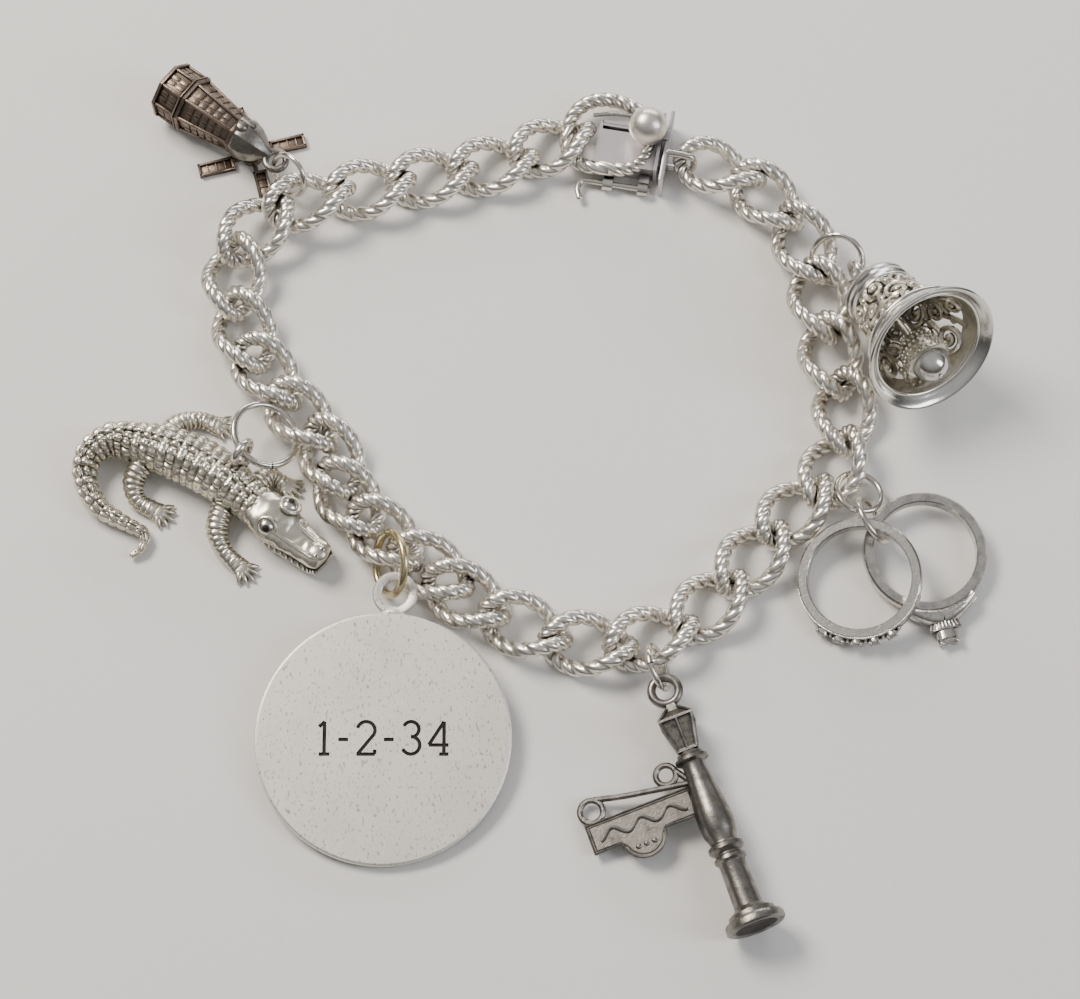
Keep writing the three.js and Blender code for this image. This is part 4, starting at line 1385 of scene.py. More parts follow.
            solid.ball(tuple(nostril + Vector((0, 0, 0.2)) + ahead * 0.08), (0.15, 0.15, 0.13), 1, steps=12)

    def build(self) -> None:
        """Makes the whole charm with its soldered back loop."""
        solid = Solid()
        self.build_body(solid)
        self.build_head(solid)
        radius, wire = self.loop_size
        solid.wires([circle(radius, 40)], wire, 12, True, 2, self.loop.matrix() @ FLAT_RING_ACROSS_Y)
        solid.ball((-28.9, 2.7, 3.6), (0.9, 0.8, 0.45), 0)
        finish_piece(
            "alligator_scaled", solid, [CAST_SILVER, ENGRAVED, WIRE_SILVER], self.place.matrix(),
            Body.BRACELET, ["alligator"], crease=50,
        )


# ---------- engraved tag


@dataclass
class EngravedTag:
    """The round tag: satin sheet with a bright turned edge, engraved plain numbers and a soldered washer.

    Attributes:
        place: the tag's frame.
        radius: the tag's radius, mm.
        thickness: its thickness, mm.
        figure: height of the engraved figures, mm.
        stroke: half width of an engraved stroke, mm.
        gap: space between figures, as a share of their height.
        text: the plain numbers.
        washer: radius and height of the washer, mm.
        washer_at: where its middle lies, mm.
    """

    place: Placement = Placement(-13.886, -26.065, 1.265, 0, 0, 6)
    radius: float = 12.1
    thickness: float = 1.0
    figure: float = 3.1
    stroke: float = 0.17
    gap: float = 0.26
    text: str = "1-2-34"
    washer: tuple = (
        (1.3, 0.14), (1.45, 0.08), (2.0, 0.08), (2.15, 0.2), (2.15, 0.75), (2.0, 0.9), (1.45, 0.9),
        (1.3, 0.8),
    )
    washer_at: Point = (0.9, 14.0, 0)

    def strokes(self, sign: str) -> tuple[float, list]:
        """The strokes of one figure.

        Args:
            sign: the figure or dash.

        Returns:
            Its width and its strokes, as shares of the figure's height.
        """
        shapes = {
            "1": (
                0.36, [[(0.04, 0.84), (0.21, 1.0)], [(0.2, 1.0), (0.2, 0.0)], [(0.04, 0.0), (0.36, 0.0)]],
            ),
            "2": (0.56, [
                circle(0.27, 16, (0.28, 0.73, 0), 165, -38), [(0.49, 0.57), (0.03, 0.0)],
                [(0.0, 0.0), (0.56, 0.0)],
                [(0.55, 0.0), (0.55, 0.14)],
            ]),
            "3": (
                0.54,
                [circle(0.24, 14, (0.26, 0.76, 0), 155, -90), circle(0.27, 16, (0.26, 0.27, 0), 90, -155)],
            ),
            "4": (0.6, [
                [(0.46, 0.0), (0.46, 1.0)], [(0.46, 1.0), (0.0, 0.28)], [(0.0, 0.28), (0.6, 0.28)],
                [(0.32, 0.0), (0.6, 0.0)],
            ]),
            "-": (0.3, [[(0.0, 0.45), (0.3, 0.45)]]),
        }
        return shapes[sign]

    def figures(self) -> Solid:
        """Lays a fine round-nosed wire along each stroke of the figures.

        Returns:
            The cutter for the engraving.
        """
        widths = [self.strokes(sign)[0] for sign in self.text]
        at = -(sum(widths) + self.gap * (len(widths) - 1)) / 2
        cutter = Solid()
        for sign, width in zip(self.text, widths):
            for stroke in self.strokes(sign)[1]:
                path = [
                    ((at + p[0]) * self.figure, (p[1] - 0.5) * self.figure, self.thickness) for p in stroke
                ]
                cutter.wires([path], self.stroke, 10)
            at += width + self.gap
        return cutter

    def build(self) -> None:
        """Makes the tag, cuts the figures into it and adds the washer and its solder."""
        tag = Solid()
        r, t = self.radius, self.thickness
        edge = [
            (0, 0), (r - 0.25, 0), (r - 0.06, 0.08), (r, 0.25), (r, t - 0.25), (r - 0.06, t - 0.08),
            (r - 0.25, t),
        ]
        tag.lathe([*edge, (0, t)], 160)
        piece = finish_piece(
            "engraved_round_tag", tag, [SATIN_SHEET, ENGRAVED, POLISHED_SILVER], self.place.matrix(),
            Body.BRACELET, ["disc"], crease=30,
        )
        for face in piece.data.polygons:
            if abs(Vector(face.normal).dot(self.place.matrix().to_3x3() @ Vector((0, 0, 1)))) < 0.9:
                face.material_index = 2
        cutter_solid = self.figures()
        mesh = bpy.data.meshes.new("figures")
        mesh.from_pydata(cutter_solid.points, [], cutter_solid.faces)
        mesh.transform(Matrix.Scale(MM, 4) @ self.place.matrix())
        for finish in (SATIN_SHEET, ENGRAVED):
            mesh.materials.append(finish.material())
        mesh.polygons.foreach_set("material_index", [1] * len(mesh.polygons))
        cutter = bpy.data.objects.new("figures", mesh)
        bpy.context.collection.objects.link(cutter)
        cut = piece.modifiers.new("engraving", "BOOLEAN")
        cut.object, cut.solver, cut.use_self = cutter, "EXACT", True
        engraved = bpy.data.meshes.new_from_object(
            piece.evaluated_get(bpy.context.evaluated_depsgraph_get())
        )
        piece.modifiers.clear()
        piece.data = engraved
        bpy.data.objects.remove(cutter)
        for face in engraved.polygons:
            face.use_smooth = face.material_index == 2
        self.build_washer()

    def build_washer(self) -> None:
        """Makes the flat washer that the tag hangs by, with its neck of solder."""
        washer = Solid()
        washer.lathe(self.washer, 48, 0, Matrix.Translation(self.washer_at))
        washer.ball((0.75, 12.15, 0.5), (1.3, 0.55, 0.48), 0)
        finish_piece(
            "tag_washer", washer, [SATIN_SHEET], self.place.matrix(), Body.BRACELET, [],
        )


# ---------- lamp post


@dataclass
class LampPost:
    """The street lamp charm: lantern, turned post and base, with a sign plate on a scrolled bracket.

    Attributes:
        place: the charm's frame, its X from the loop to the base.
        post: radius and distance along the charm of the turned post, mm.
        lantern_parts: radius and distance along the charm of each part, and its material number.
        collar: the same for the round collar under the lantern.
        socket: the same for a disc in the black finish, painted shade for the hollow in the base.
        frame: half thickness of the lantern's frame, mm.
        sign: near and far edge along the charm, and the sign's free end, mm.
        plate: half thickness of the sign, mm.
        lobe: where the sign's round lobe lies along it, and the lobe's radius, mm.
        beads: where the plain beads lie on the lobe, mm.
        scrolls: radius, distance along and across the charm of the bracket's two rings, mm.
        bracket_wire: half thickness of the bracket, mm.
        rod: the rod's line between the rings, mm.
        stay: the stay's line to the post, mm.
        hook: the hook's line round the sign's end, mm.
        loop: radius and half thickness of the loop at the top, mm.
    """

    place: Placement = Placement(12.614, -21.565, 2.279, -70.7, -1.2, 9)
    post: list = field(default_factory=lambda: [
        (0, 6.9), (1.2, 6.9), (1.6, 7.05), (1.6, 7.35), (1.15, 7.6), (1.1, 8.0), (1.2, 9.0), (1.42, 10.6),
        (1.68, 12.6),
        (1.72, 13.6), (1.6, 14.7), (1.3, 15.6), (1.35, 15.8), (1.7, 16.0), (1.72, 16.4), (1.45, 16.65),
        (1.3, 16.8),
        (1.3, 17.0), (1.52, 17.15), (1.55, 17.45), (1.3, 17.7), (1.25, 18.0), (1.32, 20.0), (1.38, 22.1),
        (1.6, 22.35),
        (2.2, 22.7), (2.25, 23.1), (2.7, 23.25), (2.85, 23.5), (2.85, 24.0), (2.7, 24.15), (2.55, 24.15),
        (0, 23.9),
    ])
    lantern_parts: tuple = (
        (((0, 1.4), (0.5, 1.4), (0.9, 2.3), (0, 2.3)), 0),
        (((0, 2.2), (0.9, 2.2), (2.35, 3.2), (0, 3.2)), 0),
        (((0, 3.1), (2.1, 3.1), (1.15, 6.3), (0, 6.3)), 1),
        (((0, 3.05), (2.4, 3.05), (2.4, 3.3), (0, 3.3)), 0),
        (((0, 6.1), (1.35, 6.1), (1.35, 6.4), (0, 6.4)), 0),
    )
    collar: tuple = ((0, 6.3), (0.9, 6.3), (1.25, 6.6), (1.2, 7.0), (0, 7.0))
    socket: tuple = ((0, 23.6), (2.5, 23.6), (2.5, 24.1), (0, 24.1))
    frame: float = 0.15
    sign: tuple[float, float, float] = (9.6, 12.4, -11.5)
    plate: float = 0.26
    lobe: tuple[float, float] = (-6.7, 2.1)
    beads: tuple[float, ...] = (-7.5, -6.7, -5.9)
    scrolls: tuple = ((1.1, 8.4, -10.5), (0.95, 7.7, -2.8))
    bracket_wire: float = 0.3
    rod: tuple = ((7.4, -9.9, 0), (8.0, -7.6, 0), (8.5, -5.0, 0), (9.2, -1.0, 0))
    stay: tuple = ((7.5, -1.9, 0), (8.4, -1.3, 0), (9.4, -0.7, 0))
    hook: tuple = ((8.9, -11.2, 0), (9.4, -11.3, 0), (9.9, -11.1, 0))
    loop: tuple[float, float] = (1.3, 0.42)

    def lantern(self, solid: Solid) -> None:
        """Adds the four-sided lantern with its roof, frame and glass.

        Args:
            solid: the mesh that gets it.
        """
        for profile, slot in self.lantern_parts:
            solid.lathe(profile, 4, slot, ALONG_X, 45)
        solid.lathe(self.collar, 32, 0, ALONG_X)
        bars = []
        for corner in range(4):
            a = math.radians(45 + 90 * corner)
            b = math.radians(90 * corner)
            flat = math.cos(math.pi / 4)
            for angle, share, ends in (
                (a, 1.0, ((3.2, 2.2), (6.2, 1.25))), (b, flat, ((3.2, 2.15), (6.2, 1.2))),
                (a, 1.0, ((1.9, 0.7), (3.1, 2.3))),
            ):
                bars.append([(x, r * share * math.sin(angle), r * share * math.cos(angle)) for x, r in ends])
        solid.wires(bars, self.frame, 8)

    def sign_plate(self, solid: Solid) -> None:
        """Adds the sign: a plate with a raised border and a lobe, a plain wavy line and three beads.

        Args:
            solid: the mesh that gets it.
        """
        x0, x1, y0 = self.sign
        half = self.plate
        lobe_at, lobe_radius = self.lobe
        lobe = [(x, y) for x, y, _ in circle(lobe_radius, 28, (x1 - 0.1, lobe_at, 0), -90, 90)]
        outline = [(x0, y0), (x1, y0), *lobe, (x1, -0.8), (x0, -0.8)]
        solid.plate(outline, -half, half)
        rim = [(x, y, half) for x, y in outline]
        inset = [(x0 + 0.25, y0 + 0.25, half), (x1 - 0.25, y0 + 0.25, half), (x1 - 0.25, -8.9, half)]
        lower = circle(lobe_radius - 0.35, 20, (x1 - 0.1, lobe_at, half), -75, 75)
        inset += [*lower, (x1 - 0.25, -4.5, half), (x1 - 0.25, -1.4, half), (x0 + 0.25, -1.4, half)]
        solid.wires([rim], 0.14, 8, True)
        solid.wires([inset], 0.09, 8, True)
        wave = [
            ((x0 + x1) / 2 + 0.45 * math.sin(2.2 * y), y, half) for y in np.linspace(y0 + 0.9, -2.0, 60)
        ]
        solid.wires([wave], 0.2, 8)
        for y in self.beads:
            solid.ball((x1 + 0.75, y, half), (0.27, 0.27, 0.18), 0, steps=12)

    def bracket(self, solid: Solid) -> None:
        """Adds the bracket: two scroll rings, the rod between them and the stay to the post.

        Args:
            solid: the mesh that gets it.
        """
        rings = [circle(r, steps, (x, y, 0)) for (r, x, y), steps in zip(self.scrolls, (36, 32))]
        solid.wires(rings, self.bracket_wire, 10, True)
        solid.wires([smooth_rows(self.rod, 24), smooth_rows(self.stay, 12)], self.bracket_wire, 10)
        solid.wires([smooth_rows(self.hook, 8)], 0.25, 8)

    def build(self) -> None:
        """Makes the whole charm as one soldered piece."""
        solid = Solid()
        solid.wires([circle(self.loop[0], 44)], self.loop[1], 12, True)
        self.lantern(solid)
        solid.lathe(self.post, 64, 0, ALONG_X)
        # A disc in the black finish stands for the hollow in the base: painted shade.
        solid.lathe(self.socket, 48, 2, ALONG_X)
        self.sign_plate(solid)
        self.bracket(solid)
        finish_piece(
            "street_lamp", solid, [PEWTER_GREY, GRAINED_PANE, ENGRAVED], self.place.matrix(), Body.BRACELET,
            ["lamp_post"], crease=34,
        )


# ---------- wedding set


@dataclass
class WeddingSet:
    """Two small finger rings on one connector: a band with stones along one side and a solitaire.

    Attributes:
        band_place: the band's frame, its Z along the ring's axis.
        solitaire_place: the solitaire's frame.
        inner: inner radius of both, mm.
        outer: outer radius of both, mm.
        width: width of both, mm.
        beaded: first and last angle of the band's beaded edges, degrees.
        bead: radius of a bead, mm.
        stones: where the band's stones lie, degrees.
        seat: radius and height of a stone's seat, mm.
        small_stone: radius of the band's stones, mm.
        head: where the solitaire's head points, degrees.
        shoulders: degrees from the head, half width and half height of the shoulders, mm.
        shoulder_ribs: place across the band and height of each rib on a shoulder, mm.
        flare: foot and brim radius of the flared head, and its reach outside the band, mm.
        squash: how flat the flared head is along the ring's axis.
        cup: radius and height above the flare of the cup under the stone, mm.
        prong: half thickness of a prong, mm.
        large_stone: radius of the solitaire, and its distance outside the band, mm.
    """

    band_place: Placement = Placement(31.614, -10.165, 1.472, 0, -12, 8)
    solitaire_place: Placement = Placement(37.914, -7.265, 0.735, 0, 0, 5)
    inner: float = 4.98
    outer: float = 6.0
    width: float = 1.4
    beaded: tuple[float, float] = (-172, -20)
    bead: float = 0.13
    stones: tuple[float, ...] = (-128, -112, -96, -80, -64)
    seat: tuple = ((0, -0.35), (0.6, -0.35), (0.76, 0.16), (0.62, 0.22), (0.55, 0.05), (0, 0.05))
    small_stone: float = 0.56
    head: float = -77.0
    shoulders: tuple = ((34, 0.4, 0.98), (22, 0.62, 1.0), (10, 0.85, 0.96), (0, 0.95, 0.9))
    shoulder_ribs: tuple = ((-0.8, 0.22), (0.8, 0.22), (-0.45, 0.62), (0.45, 0.62), (0.0, 0.75))
    flare: tuple[float, float, float] = (0.8, 1.6, 1.7)
    squash: float = 0.42
    cup: tuple = ((0, 0), (1.0, 0), (1.2, 1.0), (0.95, 1.0), (0.9, 0.6), (0, 0.6))
    prong: float = 0.17
    large_stone: tuple[float, float] = (0.95, 2.95)

    def profile(self) -> Profile:
        """Draws a band's section: flat inside, domed outside, with turned edges.

        Returns:
            Radius and height of its corners, mm.
        """
        i, o, w = self.inner, self.outer, self.width
        dome = [(o - 0.22, 0.0), (o - 0.05, 0.16), (o, w / 2), (o - 0.05, w - 0.16), (o - 0.22, w)]
        return [(i, 0.1), (i + 0.1, 0.0), *dome, (i + 0.1, w), (i, w - 0.1)]

    def gem(self, solid: Solid, place: Matrix, radius: float, slot: int) -> None:
        """Adds a faceted stone whose table faces +Z.

        Args:
            solid: the mesh that gets it.
            place: the middle of its girdle.
            radius: the girdle's radius.
            slot: material number.
        """
        cut = [(0, -0.8), (1.0, -0.08), (1.0, 0.05), (0.6, 0.38), (0, 0.38)]
        solid.lathe([(r * radius, z * radius) for r, z in cut], 8, slot, place)

    def build_band(self) -> None:
        """Makes the band with beaded edges and its row of stones in square seats."""
        band = Solid()
        band.lathe(self.profile(), 120)
        middle = self.width / 2
        for z in (0.12, self.width - 0.12):
            for spot in circle(self.outer - 0.08, 84, (0, 0, z), *self.beaded):
                band.ball(spot, (self.bead,) * 3, steps=8)
        for degrees in self.stones:
            a = math.radians(degrees)
            out = Matrix.Rotation(a, 4, "Z") @ Matrix.Translation((self.outer + 0.12, 0, middle)) @ ALONG_X
            band.lathe(self.seat, 12, 0, out)
            self.gem(band, out @ Matrix.Translation((0, 0, 0.24)), self.small_stone, 1)
            for corner in range(4):
                b = math.radians(45 + 90 * corner)
                band.ball((0.6 * math.cos(b), 0.6 * math.sin(b), 0.26), (0.16, 0.16, 0.22), 0, out, 10)
            between = Matrix.Rotation(a + math.radians(8), 4, "Z")
            band.ball((self.outer + 0.05, 0, middle), (0.3, 0.3, 0.45), 0, between, 12)
        finish_piece(
            "wedding_band", band, [WORN_RING, CLEAR_STONE], self.band_place.matrix(), Body.BRACELET,
            ["wedding_ring"], crease=35,
        )

    def add_shoulders(self, ring: Solid, facing: Matrix) -> None:
        """Adds the solitaire's two ribbed shoulders, which thicken towards its head.

        Args:
            ring: the mesh that gets them.
            facing: the turn from +X to the head.
        """
        middle = self.width / 2
        longest = self.shoulders[0][0]
        for side in (-1, 1):
            rows = []
            for degrees, width, height in self.shoulders:
                a = math.radians(side * degrees)
                reach = self.outer + 0.1 + 0.45 * (1 - degrees / longest)
                rows.append((reach * math.cos(a), reach * math.sin(a), middle, width, height))
            ring.loft(smooth_rows(rows, 20), 16, matrix=facing)
        for side in (-1, 1):
            for rib, out in self.shoulder_ribs:
                path = []
                for degrees in range(6, longest + 1, 4):
                    a = math.radians(side * degrees)
                    reach = self.outer + out + 0.45 - 0.022 * degrees
                    path.append((reach * math.cos(a), reach * math.sin(a), middle + rib))
                ring.wires([path], 0.13, 8, matrix=facing)

    def add_head(self, ring: Solid, facing: Matrix) -> None:
        """Adds the solitaire's fan-ribbed flare, the cup on it and the four prongs.

        Args:
            ring: the mesh that gets them.
            facing: the turn from +X to the head.
        """
        middle = self.width / 2
        centred = facing @ Matrix.Translation((0, 0, middle))
        near_radius, far_radius, reach = self.flare
        foot, brim = self.outer - 0.05, self.outer + reach
        cone = [
            (0, foot), (near_radius, foot), (far_radius, brim), (far_radius, brim + 0.14), (0, brim + 0.14),
        ]
        ring.lathe(cone, 24, 0, centred @ Matrix.Diagonal((1.0, 1.0, self.squash, 1.0)) @ ALONG_X)
        ribs = []
        for rib in range(-4, 5):
            for face in (-1, 1):
                near, far = 0.19 * rib, 0.38 * rib
                bulge = self.squash * math.sqrt(max(0.0, far_radius**2 - far**2)) + 0.02
                sunk = self.squash * math.sqrt(max(0.05, near_radius**2 - near**2))
                ribs.append([(foot, near, middle + face * sunk), (brim, far, middle + face * bulge)])
        ring.wires(ribs, 0.11, 7, matrix=facing)
        cup = [(radius, brim + height) for radius, height in self.cup]
        ring.lathe(cup, 16, 0, centred @ Matrix.Diagonal((1, 1, 0.55, 1)) @ ALONG_X)
        seat = facing @ Matrix.Translation((self.outer + 2.7, 0, middle)) @ ALONG_X
        for corner in range(4):
            b = math.radians(45 + 90 * corner)
            root = (0.55 * math.cos(b), 1.15 * math.sin(b), -0.7)
            tip = (0.58 * math.cos(b), 1.1 * math.sin(b), 0.45)
            ring.wires([[root, tip]], self.prong, 8, matrix=seat)
            ring.ball(tip, (0.2, 0.22, 0.24), 0, seat, 12)

    def build_solitaire(self) -> None:
        """Makes the solitaire ring with its shoulders and head, and its stone."""
        ring = Solid()
        ring.lathe(self.profile(), 120)
        facing = Matrix.Rotation(math.radians(self.head), 4, "Z")
        self.add_shoulders(ring, facing)
        self.add_head(ring, facing)
        finish_piece(
            "solitaire_ring", ring, [WORN_RING], self.solitaire_place.matrix(), Body.BRACELET,
            ["engagement_ring"], crease=35,
        )
        stone = Solid()
        radius, out = self.large_stone
        girdle = facing @ Matrix.Translation((self.outer + out, 0, self.width / 2))
        self.gem(stone, girdle @ Matrix.Diagonal((1, 1, 0.62, 1)) @ ALONG_X, radius, 0)
        finish_piece(
            "solitaire_gem", stone, [CLEAR_STONE], self.solitaire_place.matrix(), Body.BRACELET,
            ["solitaire_stone"], crease=10,
        )

    def build(self) -> None:
        """Makes the band, the solitaire and its stone."""
        self.build_band()
        self.build_solitaire()


# ---------- bell


@dataclass
class Bell:
    """The bell charm: a pierced scroll-work wall between a ridged shoulder and a plain flared rim.

    Attributes:
        place: the bell's frame, its Z from the crown to the mouth.
        wall: radius and height of the outside of the wall, mm.
        low: where the scroll-work starts, mm.
        high: where it ends, mm.
        motifs: scrolls round the bell.
        wire: half thickness of the scrolls, mm.
        ball: radius of the balls between the scrolls, mm.
        crown: radius and height of the crown and its ridged shoulder, outside then inside, mm.
        rim: the same for the plain flared rim.
        rolls: radius, height, half thickness and steps of the rings rolled onto the wall's edges, mm.
        loop: height, radius and half thickness of the crown's loop, mm.
        pin: half length and half thickness of the clapper's pin, mm.
        pivot: height of the clapper's pin, mm.
        lean: how far the clapper leans at rest, degrees.
        eye: radius and height of the clapper's eye, mm.
        stem: radius and distance from the pin of the clapper's stem, mm.
        cup: the same for its acorn cup.
        nut: the same for its bright nut.
        pits: the same for each row of beads on the cup.
    """

    place: Placement = Placement(34.114, 19.335, 4.0, -63, 61)
    wall: list = field(default_factory=lambda: [
        (3.4, 0.0), (3.5, 1.0), (3.45, 2.2), (3.8, 4.8), (4.55, 7.2), (5.65, 9.4), (6.72, 11.2),
    ])
    low: float = 1.9
    high: float = 8.7
    motifs: int = 7
    wire: float = 0.33
    ball: float = 0.44
    crown: tuple = (
        (0, -2.2), (0.75, -2.2), (0.95, -1.6), (1.5, -1.25), (2.4, -1.0), (3.1, -0.45), (3.4, 0.0),
        (3.55, 0.15),
        (3.55, 0.45), (3.35, 0.6), (3.4, 0.8), (3.6, 0.95), (3.6, 1.3), (3.4, 1.45), (3.35, 2.0),
        (2.85, 2.0),
        (2.8, 0.6), (2.3, 0.0), (1.2, -0.2), (0, -0.25),
    )
    rim: tuple = (
        (5.28, 8.6), (5.45, 8.75), (5.75, 9.4), (6.2, 10.3), (6.62, 10.75), (6.8, 10.95), (6.82, 11.15),
        (6.68, 11.28), (6.4, 11.2), (6.1, 10.8), (5.9, 10.6), (5.6, 10.35), (5.45, 10.0), (5.25, 9.3),
        (4.85, 8.6),
    )
    rolls: tuple = ((5.62, 10.3, 0.2, 90), (5.3, 8.65, 0.28, 90), (3.25, 2.0, 0.28, 70))
    loop: tuple[float, float, float] = (-3.8, 1.3, 0.4)
    pin: tuple[float, float] = (2.9, 0.33)
    pivot: float = 1.3
    lean: float = 15.0
    eye: tuple = ((0.5, -0.42), (0.95, -0.42), (1.0, -0.3), (1.0, 0.3), (0.95, 0.42), (0.5, 0.42))
    stem: tuple = ((0, 0.75), (0.45, 0.75), (0.5, 6.6), (0, 6.6))
    cup: tuple = (
        (0, 5.7), (0.8, 5.7), (1.45, 6.2), (1.95, 7.1), (2.2, 8.2), (2.25, 8.9), (2.05, 9.05), (0, 9.05),
    )
    nut: tuple = (
        (0, 8.8), (1.9, 8.8), (1.88, 9.4), (1.6, 10.2), (1.1, 10.75), (0.5, 11.05), (0.22, 11.1),
        (0.15, 11.2),
        (0, 11.2),
    )
    pits: tuple = ((1.3, 6.1), (1.7, 6.65), (1.95, 7.3), (2.12, 7.95), (2.2, 8.6))

    def on_wall(self, around: float, height: float, out: float = -0.3) -> Point:
        """A point on the wall.

        Args:
            around: angle round the bell, radians.
            height: height along the bell, mm.
            out: distance outside the wall's face, mm.

        Returns:
            The point in the bell's frame.
        """
        heights = [z for _, z in self.wall]
        radius = float(np.interp(height, heights, [r for r, _ in self.wall])) + out
        return (radius * math.cos(around), radius * math.sin(around), height)

    def scroll(self, around: float, height: float, size: float, hand: int) -> Polyline:
        """A spiral scroll laid on the wall.

        Args:
            around: angle of its middle, radians.
            height: height of its middle, mm.
            size: its outer radius, mm.
            hand: 1 or -1, the way it curls.

        Returns:
            Its points, from the eye outwards.
        """
        out = []
        mid = self.on_wall(around, height)
        radius = math.hypot(mid[0], mid[1])
        for k in range(24):
            t = k / 23
            a = hand * t * 2.9 * math.pi
            r = size * (0.2 + 0.8 * t)
            out.append(self.on_wall(around + r * math.cos(a) / radius, height + r * math.sin(a)))
        return out

    def filigree(self, solid: Solid) -> None:
        """Adds the pierced scroll-work: spirals in staggered rows, joined by leaves and balls.

        Args:
            solid: the mesh that gets it.
        """
        paths, balls = [], []
        rows = 3
        span = (self.high - self.low) / rows
        for row in range(rows):
            height = self.low + span * (row + 0.5)
            for k in range(self.motifs):
                around = 2 * math.pi * (k + 0.5 * (row % 2)) / self.motifs
                radius = math.hypot(*self.on_wall(around, height)[:2])
                size = min(span * 0.62, math.pi * radius / self.motifs * 0.98)
                paths.append(self.scroll(around, height, size, 1 if (row + k) % 2 else -1))
                side = around + math.pi / self.motifs
                bar = [
                    (side + 0.05 * math.sin(3 * u), height + span * (u - 0.5))
                    for u in np.linspace(0, 1.1, 8)
                ]
                paths.append([self.on_wall(a, min(h, self.high + 0.3)) for a, h in bar])
                balls += [self.on_wall(side, height, -0.2), self.on_wall(around, height, -0.22)]
        solid.wires(paths, self.wire, 7)
        for spot in balls:
            solid.ball(spot, (self.ball,) * 3, steps=10)

    def build_bell(self) -> None:
        """Makes the crown, ridges, scroll-work, rim, cross pin and crown loop."""
        bell = Solid()
        bell.lathe(self.crown, 96, 1)
        bell.lathe(self.rim, 120, 1)
        for radius, height, wire, steps in self.rolls:
            bell.wires([circle(radius, steps, (0, 0, height))], wire, 10, True, 1)
        self.filigree(bell)
        reach, pin = self.pin
        bell.wires([[(0, -reach, self.pivot), (0, reach, self.pivot)]], pin, 12, slot=1)
        height, radius, wire = self.loop
        standing = Matrix.Translation((0, 0, height)) @ FLAT_RING_ACROSS_Y
        bell.wires([circle(radius, 40)], wire, 12, True, 1, standing)
        finish_piece(
            "filigree_bell", bell, [CAST_SILVER, POLISHED_SILVER], self.place.matrix(), Body.BRACELET,
            ["bell"], crease=45,
        )

    def build_clapper(self) -> None:
        """Makes the acorn clapper: its eye, stem, pitted cup and bright nut."""
        clapper = Solid()
        clapper.lathe(self.eye, 32, 0, FLAT_RING_ACROSS_Y)
        clapper.lathe(self.stem, 20)
        clapper.lathe(self.cup, 48)
        clapper.lathe(self.nut, 48, 1)
        for row, (radius, height) in enumerate(self.pits):
            count = round(2 * math.pi * radius / 0.5)
            first = 180 / count * (row % 2)
            for spot in circle(radius, count, (0, 0, height), first, 360 + first):
                clapper.ball(spot, (0.2, 0.2, 0.2), steps=8)
        leaning = Matrix.Rotation(math.radians(self.lean), 4, "Y")
        place = self.place.matrix() @ Matrix.Translation((0, 0, self.pivot)) @ leaning
        finish_piece(
            "acorn_clapper", clapper, [CAST_SILVER, POLISHED_SILVER], place, Body.CLAPPER, ["bell_clapper"],
            crease=45,
        )

    def build(self) -> None:
        """Makes the bell and its clapper."""
        self.build_bell()
        self.build_clapper()


# ---------- studio


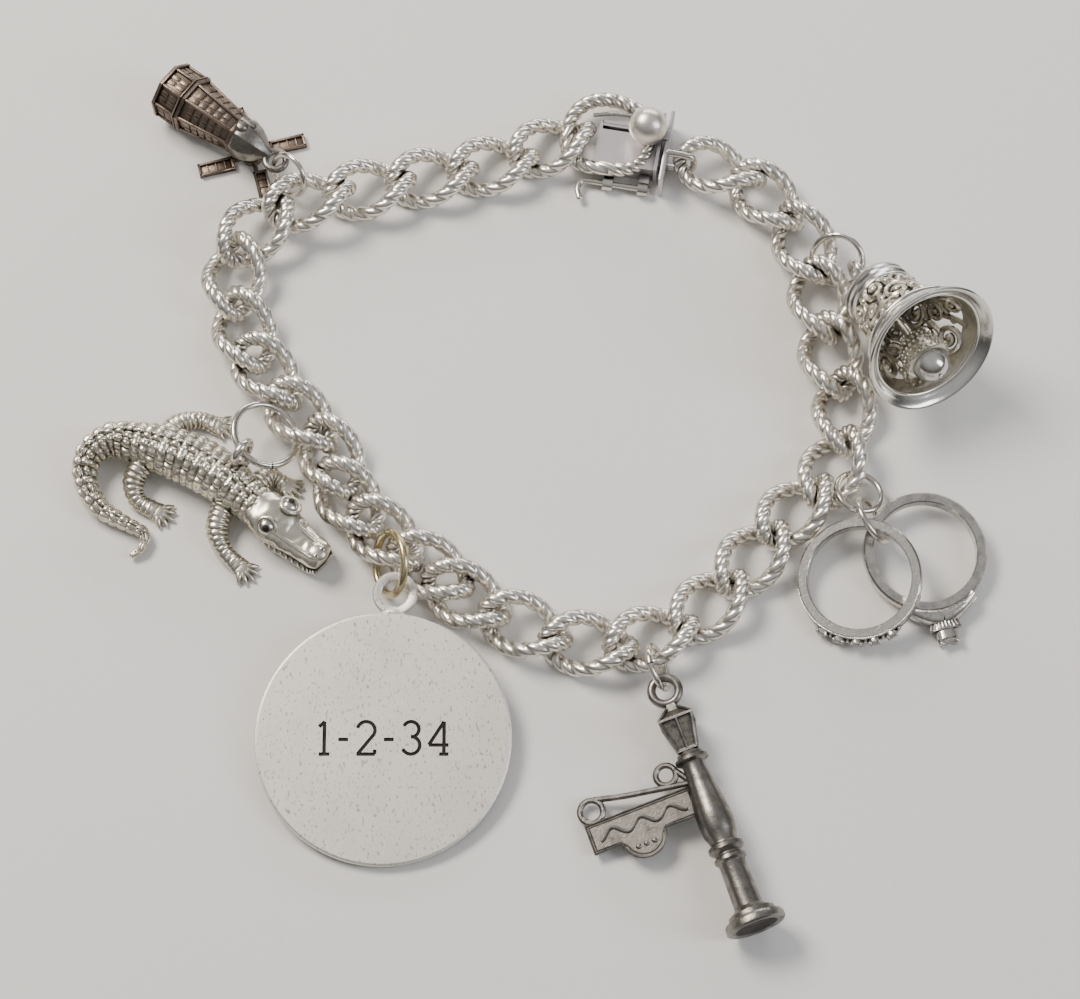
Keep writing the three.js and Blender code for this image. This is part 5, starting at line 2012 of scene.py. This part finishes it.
@dataclass
class Studio:
    """The pale floor, soft lights and camera.

    Attributes:
        elevation: the camera's angle above the floor, degrees.
        distance: from the camera to the middle of the layout, mm.
        lens: focal length on a 36 mm wide sensor, mm.
        floor: the floor's colour.
        floor_size: its width, metres.
        lamps: each light's name, place and size in metres, watts and colour.
        sky: the room's colour.
        sky_band: how high a direction points where the room begins to brighten, and where it is brightest.
        sky_light: the room's brightness below and above that band.
    """

    elevation: float = 68.0
    distance: float = 280.0
    lens: float = 95.5
    floor: str = "e4e2de"
    floor_size: float = 6.0
    lamps: tuple = (
        ("key_softbox", (-0.28, 0.22, 0.42), (0.26, 0.18), 3.5, "fff6ec"),
        ("fill_softbox", (0.42, -0.1, 0.32), (0.14, 0.3), 1.1, "f4f7ff"),
        ("rim_strip", (0.08, 0.5, 0.16), (0.5, 0.08), 1.2, "ffffff"),
    )
    sky: str = "e6e6e8"
    sky_band: tuple[float, float] = (0.15, 0.85)
    sky_light: tuple[float, float] = (0.07, 0.6)

    def build_floor(self) -> None:
        """Lays a wide plain floor."""
        bpy.ops.mesh.primitive_plane_add(size=self.floor_size, location=(0, 0, 0))
        floor = bpy.context.object
        floor.name = "pale_floor"
        # Board painted with matt white paint: it takes soft shadows and mirrors nothing.
        made = bpy.data.materials.new("matt_painted_board")
        made.use_nodes = True
        shader = made.node_tree.nodes["Principled BSDF"]
        shader.inputs["Base Color"].default_value = linear(self.floor)
        shader.inputs["Roughness"].default_value = 0.75
        floor.data.materials.append(made)

    def light(self, name: str, spot: Point, size: tuple[float, float], watts: float, tint: str) -> None:
        """Adds one soft rectangular light aimed at the middle.

        Args:
            name: the light's name.
            spot: where it stands, metres.
            size: its width and height, metres.
            watts: its power.
            tint: its colour.
        """
        lamp = bpy.data.lights.new(name, "AREA")
        lamp.shape, lamp.size, lamp.size_y = "RECTANGLE", *size
        lamp.energy, lamp.color = watts, linear(tint)[:3]
        holder = bpy.data.objects.new(name, lamp)
        holder.location = spot
        holder.rotation_euler = (-Vector(spot)).to_track_quat("-Z", "Y").to_euler()
        bpy.context.collection.objects.link(holder)

    def build(self) -> None:
        """Makes the floor, the lights, the surroundings and the camera."""
        self.build_floor()
        for lamp in self.lamps:
            self.light(*lamp)
        self.build_room()
        self.build_camera()

    def build_room(self) -> None:
        """Surrounds the scene with a plain room, darker low down, for the metal to mirror."""
        world = bpy.data.worlds.new("studio_room")
        world.use_nodes = True
        tree = world.node_tree
        back = tree.nodes["Background"]
        way = add_node(tree, "ShaderNodeTexCoord").outputs["Generated"]
        height = add_node(tree, "ShaderNodeSeparateXYZ", {0: way}).outputs[2]
        (low, high), (dim, bright) = self.sky_band, self.sky_light
        lift = add_node(tree, "ShaderNodeMapRange", {0: height, 1: low, 2: high, 3: dim, 4: bright})
        back.inputs[0].default_value = linear(self.sky)
        tree.links.new(lift.outputs[0], back.inputs[1])
        bpy.context.scene.world = world

    def build_camera(self) -> None:
        """Points the camera at the middle of the layout."""
        lens = bpy.data.cameras.new("camera")
        lens.lens, lens.sensor_width, lens.clip_start, lens.clip_end = self.lens, 36.0, 0.01, 20.0
        camera = bpy.data.objects.new("camera", lens)
        lift = math.radians(self.elevation)
        away = Vector((0, -math.cos(lift), math.sin(lift)))
        camera.location = (SHIFT + away * self.distance) * MM
        camera.rotation_euler = (-away).to_track_quat("-Z", "Y").to_euler()
        bpy.context.collection.objects.link(camera)
        bpy.context.scene.camera = camera


def main() -> None:
    logging.basicConfig(level=logging.INFO, format="%(name)s %(message)s")
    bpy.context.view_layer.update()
    for part in (
        Studio(), CurbChain(), JumpRings(), Clasp(), Windmill(), Alligator(), EngravedTag(), LampPost(),
        WeddingSet(),
        Bell(),
    ):
        part.build()
        log.info("built %s", type(part).__name__)


if __name__ == "__main__":
    main()
